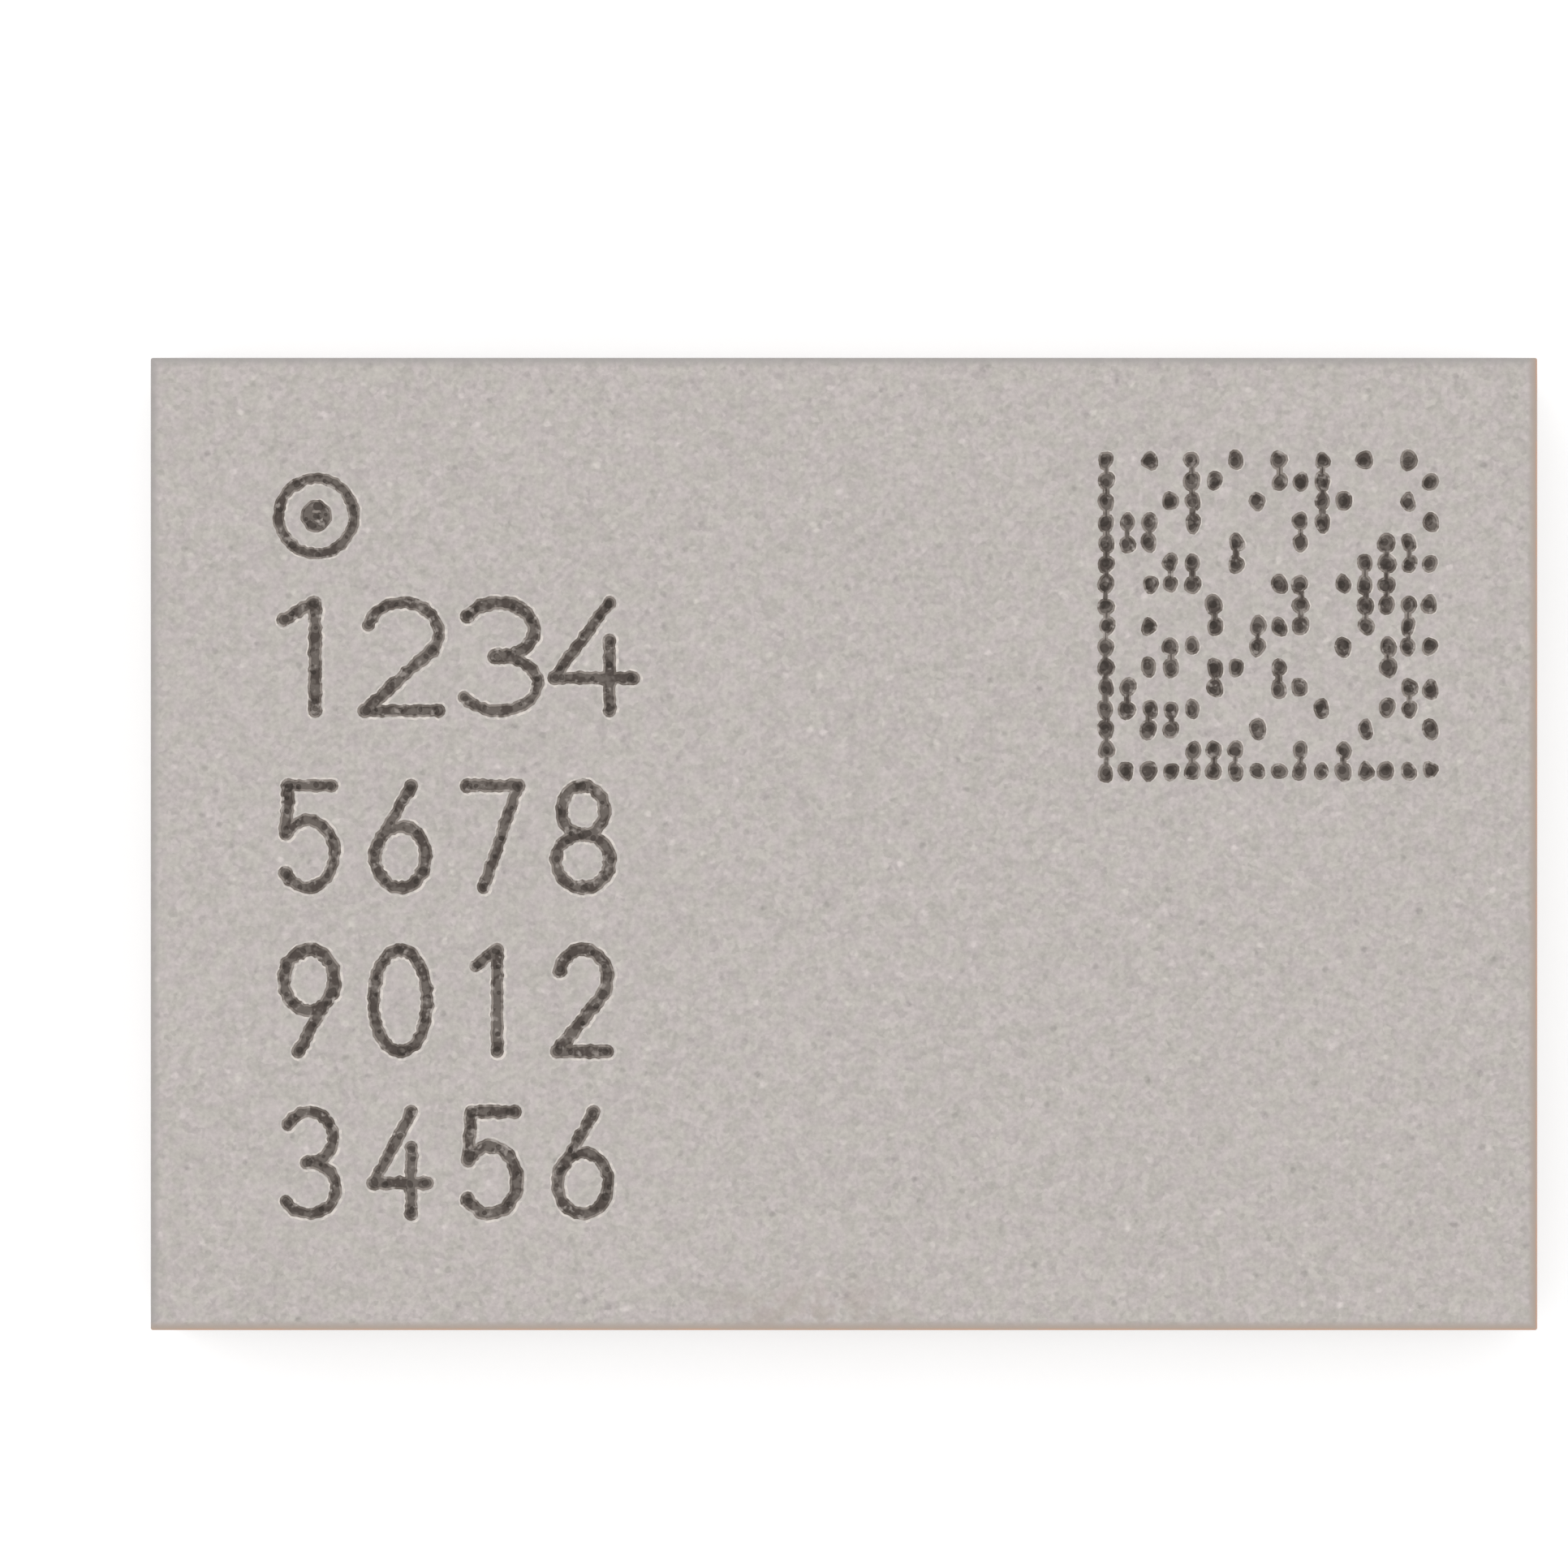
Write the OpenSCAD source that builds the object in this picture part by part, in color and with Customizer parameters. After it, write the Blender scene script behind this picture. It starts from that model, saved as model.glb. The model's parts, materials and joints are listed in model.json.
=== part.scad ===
// Double-sided moulded ball grid array: a radio front-end module with a sputtered metal shield.
// Millimetres. +Z is up and z = 0 is the seating plane, where the solder balls' tips lie.
// The origin is the middle of the seating plane. Column 1 is at -X and row A is at +Y, seen from above.

/* [Ball grid] */
// Ball positions from left to right
ball_columns = 15; // [14:1:19]
// Ball positions from back to front
ball_rows = 10; // [9:1:13]
// Centre distance between columns
column_pitch = 0.5; // [0.47:0.01:0.6]
// Centre distance between rows
row_pitch = 0.53; // [0.48:0.01:0.6]
// Outer column's centres to the package's left and right sides
side_margin = 0.35; // [0.3:0.01:0.5]
// Outer row's centres to the package's front and back sides
end_margin = 0.315; // [0.3:0.01:0.5]
// First row with no ball beside the outer column
first_bare_row = 2; // [2:1:4]
// Number of such rows
bare_rows = 2; // [1:1:3]

/* [Solder balls and their cavities] */
// Diameter of a solder ball
ball_d = 0.3; // [0.27:0.005:0.33]
// Diameter of the copper land that a ball is soldered to
land_d = 0.24; // [0.2:0.005:0.25]
// Diameter of a laser-cut cavity at the lower face
cavity_mouth_d = 0.44; // [0.4:0.005:0.46]
// Diameter of a cavity at its floor
cavity_floor_d = 0.35; // [0.335:0.005:0.38]
// Depth of a cavity below the lower face
cavity_depth = 0.06; // [0.03:0.005:0.08]

/* [Package] */
// Thickness of the moulding under the laminate
lower_mould_t = 0.16; // [0.15:0.005:0.19]
// Thickness of the laminate
laminate_t = 0.26; // [0.2:0.01:0.4]
// Thickness of the moulding over the laminate
upper_mould_t = 0.6; // [0.5:0.01:0.9]
// Thickness of the sputtered metal film
shield_t = 0.01; // [0.005:0.001:0.03]

/* [Copper in the laminate] */
// Thickness of every land and pad
copper_t = 0.015; // [0.01:0.001:0.02]
// Thickness of the ground plane
plane_t = 0.018; // [0.01:0.001:0.03]
// Depth of the ground plane's upper face under the laminate's upper face
plane_depth = 0.12; // [0.09:0.005:0.13]
// Depth of the routing layer's upper face under the laminate's upper face
routing_depth = 0.05; // [0.03:0.005:0.06]
// Diameter of a plated via
via_d = 0.09; // [0.06:0.005:0.11]
// Diameter of a via's catch pad on the routing layer
catch_pad_d = 0.15; // [0.13:0.005:0.18]
// Diameter of the opening in the ground plane round a signal via
antipad_d = 0.21; // [0.16:0.005:0.25]

/* [Flip-chip dies over the laminate] */
// Length of the power amplifier die
amplifier_l = 1.9; // [1.6:0.05:2.2]
// Width of the power amplifier die
amplifier_w = 1.5; // [1.3:0.05:1.7]
// Length of the controller die
controller_l = 1.4; // [1.1:0.05:1.8]
// Width of the controller die
controller_w = 1.1; // [0.9:0.05:1.3]
// Thickness of the amplifier and controller dies
die_t = 0.2; // [0.15:0.01:0.3]
// Length of a filter die
filter_l = 1.2; // [1:0.05:1.4]
// Width of a filter die
filter_w = 1.0; // [0.8:0.05:1.1]
// Thickness of a filter die
filter_t = 0.25; // [0.2:0.01:0.3]
// Filter dies from left to right
filter_columns = 2; // [1:1:2]
// Filter dies from back to front
filter_rows = 3; // [1:1:3]

/* [Flip-chip dies under the laminate] */
// Length of the antenna switch die
switch_l = 2.4; // [2:0.05:2.7]
// Length of the receive amplifier die
receiver_l = 1.6; // [1.3:0.05:1.9]
// Width of both lower dies
lower_die_w = 1.8; // [1.4:0.05:2.2]
// Thickness of both lower dies
lower_die_t = 0.09; // [0.05:0.005:0.1]

/* [Pillars and bumps] */
// Diameter of a copper pillar
pillar_d = 0.09; // [0.06:0.005:0.12]
// Height of a pillar over the laminate
pillar_h = 0.06; // [0.04:0.005:0.09]
// Height of a pillar under the laminate
lower_pillar_h = 0.04; // [0.02:0.005:0.045]
// Diameter of a filter die's solder bump
bump_d = 0.12; // [0.09:0.005:0.15]
// Height of a filter die's solder bump
bump_h = 0.05; // [0.03:0.005:0.08]
// Outer pillar's or bump's centre to the edge of its die
bump_inset = 0.15; // [0.1:0.01:0.2]

/* [Chip capacitors and inductors] */
// Length of a chip capacitor or inductor
chip_l = 0.6; // [0.5:0.02:0.7]
// Width of a chip capacitor
capacitor_w = 0.3; // [0.24:0.01:0.36]
// Height of a chip capacitor
capacitor_h = 0.3; // [0.2:0.01:0.36]
// Width of a chip inductor
inductor_w = 0.34; // [0.24:0.01:0.38]
// Height of a chip inductor
inductor_h = 0.24; // [0.2:0.01:0.36]
// Number in each of the two columns of small chips
chips_in_column = 8; // [3:1:8]
// Centre distance between neighbours in a column
chip_pitch = 0.52; // [0.48:0.01:0.56]
// Length of a decoupling capacitor
decoupler_l = 1.0; // [0.8:0.02:1.1]
// Width of a decoupling capacitor
decoupler_w = 0.5; // [0.4:0.02:0.6]
// Height of a decoupling capacitor
decoupler_h = 0.36; // [0.25:0.01:0.4]
// Length of the plated end of a small chip
chip_end_l = 0.15; // [0.1:0.01:0.2]
// Length of the plated end of a decoupling capacitor
decoupler_end_l = 0.25; // [0.15:0.01:0.3]
// Thickness of that plating
plating_t = 0.015; // [0.01:0.001:0.03]
// Thickness of the solder under a plated end
solder_t = 0.02; // [0.01:0.001:0.03]
// Reach of the solder fillet past a plated end
fillet_l = 0.08; // [0.04:0.01:0.1]
// Height of the solder fillet on a plated end
fillet_h = 0.12; // [0.06:0.01:0.16]
// Free space between neighbouring components
component_gap = 0.25; // [0.2:0.01:0.3]

/* [Hidden] */
$fn = 48;
cut = 0.05; // how far a cutting shape runs past the face that it opens

// Package outline
package_l = (ball_columns - 1) * column_pitch + 2 * side_margin;
package_w = (ball_rows - 1) * row_pitch + 2 * end_margin;
core_l = package_l - 2 * shield_t;
core_w = package_w - 2 * shield_t;

// Heights over the seating plane
ball_r = ball_d / 2;
land_r = land_d / 2;
laminate_z = ball_r + sqrt(ball_r * ball_r - land_r * land_r); // a ball is cut flat where it meets its land
lower_face_z = laminate_z - lower_mould_t;
upper_z = laminate_z + laminate_t;
mould_top_z = upper_z + upper_mould_t;
package_h = mould_top_z + shield_t;
plane_z = upper_z - plane_depth - plane_t;
routing_z = upper_z - routing_depth - copper_t;

// Ball positions: a full outer ring, and a second column at each side where the row isn't bare
row_letters = "abcdefghjklmn";
row_indices = [0 : ball_rows - 1];
column_indices = [0 : ball_columns - 1];
function is_bare(row) = row >= first_bare_row && row < first_bare_row + bare_rows;
function is_outer(column, row) =
    row == 0 || row == ball_rows - 1 || column == 0 || column == ball_columns - 1;
function is_corner(column, row) =
    (row == 0 || row == ball_rows - 1) && (column == 0 || column == ball_columns - 1);
function has_ball(column, row) =
    is_outer(column, row) || ((column == 1 || column == ball_columns - 2) && !is_bare(row));
function ball_place(column, row) = [
    (column - (ball_columns - 1) / 2) * column_pitch,
    ((ball_rows - 1) / 2 - row) * row_pitch
];
function row_places(row) = [for (c = column_indices) if (has_ball(c, row)) ball_place(c, row)];
ball_places = [for (r = row_indices) each row_places(r)];
signal_places = [
    for (r = row_indices, c = column_indices)
        if (has_ball(c, r) && !is_corner(c, r)) ball_place(c, r)
];
ground_places = [
    for (r = row_indices, c = column_indices)
        if (has_ball(c, r) && is_corner(c, r)) ball_place(c, r)
];

// Floor plan over the laminate: small chips, two dies and the decouplers, filters, small chips
filter_block_l = filter_columns * filter_l + (filter_columns - 1) * component_gap;
filter_block_w = filter_rows * filter_w + (filter_rows - 1) * component_gap;
middle_l = max(amplifier_l, controller_l, 2 * decoupler_w + component_gap);
middle_w = amplifier_w + controller_w + decoupler_l + 2 * component_gap;
plan_l = 2 * chip_l + middle_l + filter_block_l + 3 * component_gap;
capacitor_x = (chip_l - plan_l) / 2;
inductor_x = -capacitor_x;
middle_x = capacitor_x + (chip_l + middle_l) / 2 + component_gap;
filter_x = inductor_x - (chip_l + filter_block_l) / 2 - component_gap;
amplifier_y = (middle_w - amplifier_w) / 2;
controller_y = amplifier_y - (amplifier_w + controller_w) / 2 - component_gap;
decoupler_y = (decoupler_l - middle_w) / 2;
chip_ys = [for (i = [0 : chips_in_column - 1]) (i - (chips_in_column - 1) / 2) * chip_pitch];
decoupler_xs = [for (side = [-1, 1]) middle_x + side * (decoupler_w + component_gap) / 2];
filter_places = [
    for (r = [0 : filter_rows - 1], c = [0 : filter_columns - 1]) [
        filter_x + (c - (filter_columns - 1) / 2) * (filter_l + component_gap),
        ((filter_rows - 1) / 2 - r) * (filter_w + component_gap)
    ]
];

// Floor plan under the laminate: two dies side by side
lower_plan_l = switch_l + receiver_l + component_gap;
switch_x = (switch_l - lower_plan_l) / 2;
receiver_x = (lower_plan_l - receiver_l) / 2;

// Pillar and bump positions on each kind of die: [columns, rows]
amplifier_grid = [5, 4];
controller_grid = [4, 4];
filter_grid = [3, 2];
switch_grid = [7, 5];
receiver_grid = [5, 5];
function spread(count, length) = [
    for (i = [0 : count - 1]) (i / (count - 1) - 0.5) * (length - 2 * bump_inset)
];
function bump_places(die_l, die_w, grid) = [
    for (x = spread(grid[0], die_l), y = spread(grid[1], die_w)) [x, y]
];
amplifier_pillar_places = bump_places(amplifier_l, amplifier_w, amplifier_grid);
controller_pillar_places = bump_places(controller_l, controller_w, controller_grid);
filter_bump_places = bump_places(filter_l, filter_w, filter_grid);
switch_pillar_places = bump_places(switch_l, lower_die_w, switch_grid);
receiver_pillar_places = bump_places(receiver_l, lower_die_w, receiver_grid);

/* Small shapes that the pieces share */

// A box that stands on z, centred on x and y
module block(length, width, height, z = 0) {
    translate([-length / 2, -width / 2, z]) cube([length, width, height]);
}

// Copies of the children at each place in a list
module at_each(places) {
    for (p = places) translate([p[0], p[1], 0]) children();
}

// A row of upright round posts or discs
module posts(places, diameter, height, z) {
    at_each(places) translate([0, 0, z]) cylinder(d = diameter, h = height);
}

/* Solder balls, seated flat on their lands */

module whole_ball() {
    translate([0, 0, ball_r]) sphere(r = ball_r);
}

module ball() {
    intersection() {
        whole_ball();
        block(ball_d, ball_d, laminate_z);
    }
}

module balls_row(row) {
    color("silver") at_each(row_places(row)) ball();
}

/* Mouldings */

// The laser opens a tapered cavity round each ball, down to about the ball's widest part
module cavity() {
    rotate_extrude() polygon([
        [0, lower_face_z - cut],
        [cavity_mouth_d / 2, lower_face_z - cut],
        [cavity_mouth_d / 2, lower_face_z],
        [cavity_floor_d / 2, lower_face_z + cavity_depth],
        [0, lower_face_z + cavity_depth]
    ]);
}

module lower_mould() {
    color([0.12, 0.12, 0.15]) difference() {
        block(core_l, core_w, lower_mould_t, lower_face_z);
        at_each(ball_places) {
            cavity();
            whole_ball();
        }
        switch_die();
        switch_pillars();
        receiver_die();
        receiver_pillars();
    }
}

module upper_mould() {
    color([0.14, 0.14, 0.15]) difference() {
        block(core_l, core_w, upper_mould_t, upper_z);
        amplifier_die();
        amplifier_pillars();
        controller_die();
        controller_pillars();
        for (i = [0 : len(filter_places) - 1]) {
            filter_die(i);
            filter_bumps(i);
        }
        capacitor_bodies();
        capacitor_ends();
        inductor_bodies();
        inductor_ends();
        decoupler_bodies();
        decoupler_ends();
        solder_joints();
    }
}

/* Shield: a metal film over the top and all four sides, ending level with the lower face */

module shield() {
    color([0.74, 0.72, 0.69]) difference() {
        block(package_l, package_w, package_h - lower_face_z, lower_face_z);
        block(core_l, core_w, mould_top_z - lower_face_z + cut, lower_face_z - cut);
    }
}

/* Laminate and the copper in it */

// A ball's land with its via: a disc below and a post up to the given height
module land_and_via(top_z) {
    translate([0, 0, laminate_z]) {
        cylinder(d = land_d, h = copper_t);
        cylinder(d = via_d, h = top_z - laminate_z);
    }
}

module ball_lands() {
    color([0.8, 0.5, 0.3]) at_each(signal_places) {
        land_and_via(routing_z + copper_t);
        translate([0, 0, routing_z]) cylinder(d = catch_pad_d, h = copper_t);
    }
}

// The plane reaches the shield on all four sides, and the corner balls tie it to ground
module ground_plane() {
    color([0.8, 0.5, 0.3]) {
        difference() {
            block(core_l, core_w, plane_t, plane_z);
            posts(signal_places, antipad_d, plane_t + 2 * cut, plane_z - cut);
        }
        at_each(ground_places) land_and_via(plane_z + plane_t);
    }
}

module laminate() {
    color([0.36, 0.3, 0.16]) difference() {
        block(core_l, core_w, laminate_t, laminate_z);
        ground_plane();
        ball_lands();
        component_lands();
        lower_lands();
    }
}

/* Dies and their pillars or bumps */

module amplifier_die() {
    color([0.35, 0.36, 0.42]) translate([middle_x, amplifier_y])
        block(amplifier_l, amplifier_w, die_t, upper_z + pillar_h);
}

module amplifier_pillars() {
    color([0.8, 0.5, 0.3]) translate([middle_x, amplifier_y])
        posts(amplifier_pillar_places, pillar_d, pillar_h, upper_z);
}

module controller_die() {
    color([0.35, 0.36, 0.42]) translate([middle_x, controller_y])
        block(controller_l, controller_w, die_t, upper_z + pillar_h);
}

module controller_pillars() {
    color([0.8, 0.5, 0.3]) translate([middle_x, controller_y])
        posts(controller_pillar_places, pillar_d, pillar_h, upper_z);
}

module filter_die(i) {
    color([0.55, 0.58, 0.6]) translate(filter_places[i])
        block(filter_l, filter_w, filter_t, upper_z + bump_h);
}

module filter_bumps(i) {
    color("silver") translate(filter_places[i])
        posts(filter_bump_places, bump_d, bump_h, upper_z);
}

module switch_die() {
    color([0.35, 0.36, 0.42]) translate([switch_x, 0])
        block(switch_l, lower_die_w, lower_die_t, laminate_z - lower_pillar_h - lower_die_t);
}

module switch_pillars() {
    color([0.8, 0.5, 0.3]) translate([switch_x, 0])
        posts(switch_pillar_places, pillar_d, lower_pillar_h, laminate_z - lower_pillar_h);
}

module receiver_die() {
    color([0.35, 0.36, 0.42]) translate([receiver_x, 0])
        block(receiver_l, lower_die_w, lower_die_t, laminate_z - lower_pillar_h - lower_die_t);
}

module receiver_pillars() {
    color([0.8, 0.5, 0.3]) translate([receiver_x, 0])
        posts(receiver_pillar_places, pillar_d, lower_pillar_h, laminate_z - lower_pillar_h);
}

/* Chip capacitors and inductors: a body, two plated ends and two solder joints */

module capacitor_places() {
    for (y = chip_ys) translate([capacitor_x, y, upper_z]) children();
}

module inductor_places() {
    for (y = chip_ys) translate([inductor_x, y, upper_z]) children();
}

module decoupler_places() {
    for (x = decoupler_xs) translate([x, decoupler_y, upper_z]) rotate(90) children();
}

module both_ends() {
    children();
    mirror([1, 0, 0]) children();
}

module chip_body(length, width, height) {
    translate([0, 0, solder_t + plating_t])
        block(length - 2 * plating_t, width - 2 * plating_t, height - 2 * plating_t);
}

module chip_ends(length, width, height, end_l) {
    both_ends() difference() {
        translate([length / 2 - end_l, -width / 2, solder_t]) cube([end_l, width, height]);
        chip_body(length, width, height);
    }
}

module chip_solder(length, width, end_l) {
    both_ends() translate([length / 2, width / 2, 0]) rotate([90, 0, 0])
        linear_extrude(width) polygon([
            [-end_l, 0],
            [fillet_l, 0],
            [fillet_l, solder_t],
            [0, solder_t + fillet_h],
            [0, solder_t],
            [-end_l, solder_t]
        ]);
}

module chip_lands(length, width, end_l) {
    both_ends() translate([length / 2 - end_l, -width / 2, -copper_t])
        cube([end_l + fillet_l, width, copper_t]);
}

module capacitor_bodies() {
    color([0.62, 0.5, 0.38]) capacitor_places() chip_body(chip_l, capacitor_w, capacitor_h);
}

module capacitor_ends() {
    color("silver") capacitor_places() chip_ends(chip_l, capacitor_w, capacitor_h, chip_end_l);
}

module inductor_bodies() {
    color([0.2, 0.3, 0.42]) inductor_places() chip_body(chip_l, inductor_w, inductor_h);
}

module inductor_ends() {
    color("silver") inductor_places() chip_ends(chip_l, inductor_w, inductor_h, chip_end_l);
}

module decoupler_bodies() {
    color([0.62, 0.5, 0.38]) decoupler_places() chip_body(decoupler_l, decoupler_w, decoupler_h);
}

module decoupler_ends() {
    color("silver") decoupler_places()
        chip_ends(decoupler_l, decoupler_w, decoupler_h, decoupler_end_l);
}

module solder_joints() {
    color([0.7, 0.7, 0.72]) {
        capacitor_places() chip_solder(chip_l, capacitor_w, chip_end_l);
        inductor_places() chip_solder(chip_l, inductor_w, chip_end_l);
        decoupler_places() chip_solder(decoupler_l, decoupler_w, decoupler_end_l);
    }
}

/* Copper lands on both faces of the laminate, level with its surface */

module component_lands() {
    land_z = upper_z - copper_t;
    color([0.8, 0.5, 0.3]) {
        capacitor_places() chip_lands(chip_l, capacitor_w, chip_end_l);
        inductor_places() chip_lands(chip_l, inductor_w, chip_end_l);
        decoupler_places() chip_lands(decoupler_l, decoupler_w, decoupler_end_l);
        translate([middle_x, amplifier_y])
            posts(amplifier_pillar_places, pillar_d, copper_t, land_z);
        translate([middle_x, controller_y])
            posts(controller_pillar_places, pillar_d, copper_t, land_z);
        at_each(filter_places) posts(filter_bump_places, bump_d, copper_t, land_z);
    }
}

module lower_lands() {
    color([0.8, 0.5, 0.3]) {
        translate([switch_x, 0]) posts(switch_pillar_places, pillar_d, copper_t, laminate_z);
        translate([receiver_x, 0]) posts(receiver_pillar_places, pillar_d, copper_t, laminate_z);
    }
}

/* The whole part */

shield();
upper_mould();
laminate();
ground_plane();
ball_lands();
lower_mould();
for (r = row_indices)
    balls_row(r);
amplifier_die();
amplifier_pillars();
controller_die();
controller_pillars();
for (i = [0 : len(filter_places) - 1]) {
    filter_die(i);
    filter_bumps(i);
}
capacitor_bodies();
capacitor_ends();
inductor_bodies();
inductor_ends();
decoupler_bodies();
decoupler_ends();
solder_joints();
component_lands();
switch_die();
switch_pillars();
receiver_die();
receiver_pillars();
lower_lands();
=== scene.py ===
"""Looks of a shielded, double-sided moulded ball grid array chip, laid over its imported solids."""

import json
import logging
import math
import random
from contextlib import contextmanager
from dataclasses import dataclass, field
from enum import Enum
from typing import Callable, Iterator, Sequence

import bpy
from mathutils import Matrix, Vector


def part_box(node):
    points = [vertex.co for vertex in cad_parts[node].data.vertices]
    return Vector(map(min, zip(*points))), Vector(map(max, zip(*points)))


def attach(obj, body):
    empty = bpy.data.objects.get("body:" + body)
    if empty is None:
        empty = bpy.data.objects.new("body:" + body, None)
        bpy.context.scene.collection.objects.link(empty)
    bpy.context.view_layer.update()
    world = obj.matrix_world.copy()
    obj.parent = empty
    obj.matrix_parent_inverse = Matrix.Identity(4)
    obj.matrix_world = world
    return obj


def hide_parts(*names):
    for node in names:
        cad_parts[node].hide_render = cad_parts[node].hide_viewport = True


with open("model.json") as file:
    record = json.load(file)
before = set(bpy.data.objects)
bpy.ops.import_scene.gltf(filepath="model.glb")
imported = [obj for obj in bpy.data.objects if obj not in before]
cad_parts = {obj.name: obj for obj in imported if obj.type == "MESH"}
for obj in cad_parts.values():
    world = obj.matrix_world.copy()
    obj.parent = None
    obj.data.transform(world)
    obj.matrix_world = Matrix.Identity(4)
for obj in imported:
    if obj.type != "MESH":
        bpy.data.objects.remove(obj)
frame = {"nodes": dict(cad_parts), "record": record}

LOG = logging.getLogger("chip")
MM = 1000.0  # a metre in millimetres: pieces are modelled in millimetres and settled in metres
SEED = 20  # of the marks; the cavities take the next one
HAIR = 1e-5  # millimetres: points closer than this are one point
NEAR = 0.001  # millimetres: heights closer than this are one height
FACING = 0.9  # a face looks up, or down, when its normal does so by more than this

Point = tuple[float, float]
Span = tuple[float, float]  # two bounds: the least and the most, or a start and an end
Colour = tuple[float, float, float]
WHITE: Colour = (1.0, 1.0, 1.0)


# ---------------------------------------------------------------- shader graphs


def srgb(red: int, green: int, blue: int) -> Colour:
    """Linear colour of an 8-bit display colour.

    Args:
        red: Red from 0 to 255.
        green: Green from 0 to 255.
        blue: Blue from 0 to 255.

    Returns:
        The three linear channels.
    """

    def channel(value: int) -> float:
        """One channel made linear."""
        v = value / 255
        return v / 12.92 if v <= 0.04045 else ((v + 0.055) / 1.055) ** 2.4

    return channel(red), channel(green), channel(blue)


class Wire:
    """An output socket. Arithmetic on it adds Math nodes to its graph."""

    def __init__(self, graph: "Graph", socket: bpy.types.NodeSocket) -> None:
        """Wraps a socket of a graph."""
        self.graph = graph
        self.socket = socket

    def __add__(self, other: "Wire | float") -> "Wire":
        """Sum."""
        return self.graph.math("ADD", self, other)

    def __radd__(self, other: float) -> "Wire":
        """Sum, from the right."""
        return self.graph.math("ADD", other, self)

    def __sub__(self, other: "Wire | float") -> "Wire":
        """Difference."""
        return self.graph.math("SUBTRACT", self, other)

    def __rsub__(self, other: float) -> "Wire":
        """Difference, from the right."""
        return self.graph.math("SUBTRACT", other, self)

    def __mul__(self, other: "Wire | float") -> "Wire":
        """Product."""
        return self.graph.math("MULTIPLY", self, other)

    def __rmul__(self, other: float) -> "Wire":
        """Product, from the right."""
        return self.graph.math("MULTIPLY", other, self)

    def __abs__(self) -> "Wire":
        """Absolute value."""
        return self.graph.math("ABSOLUTE", self)


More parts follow.
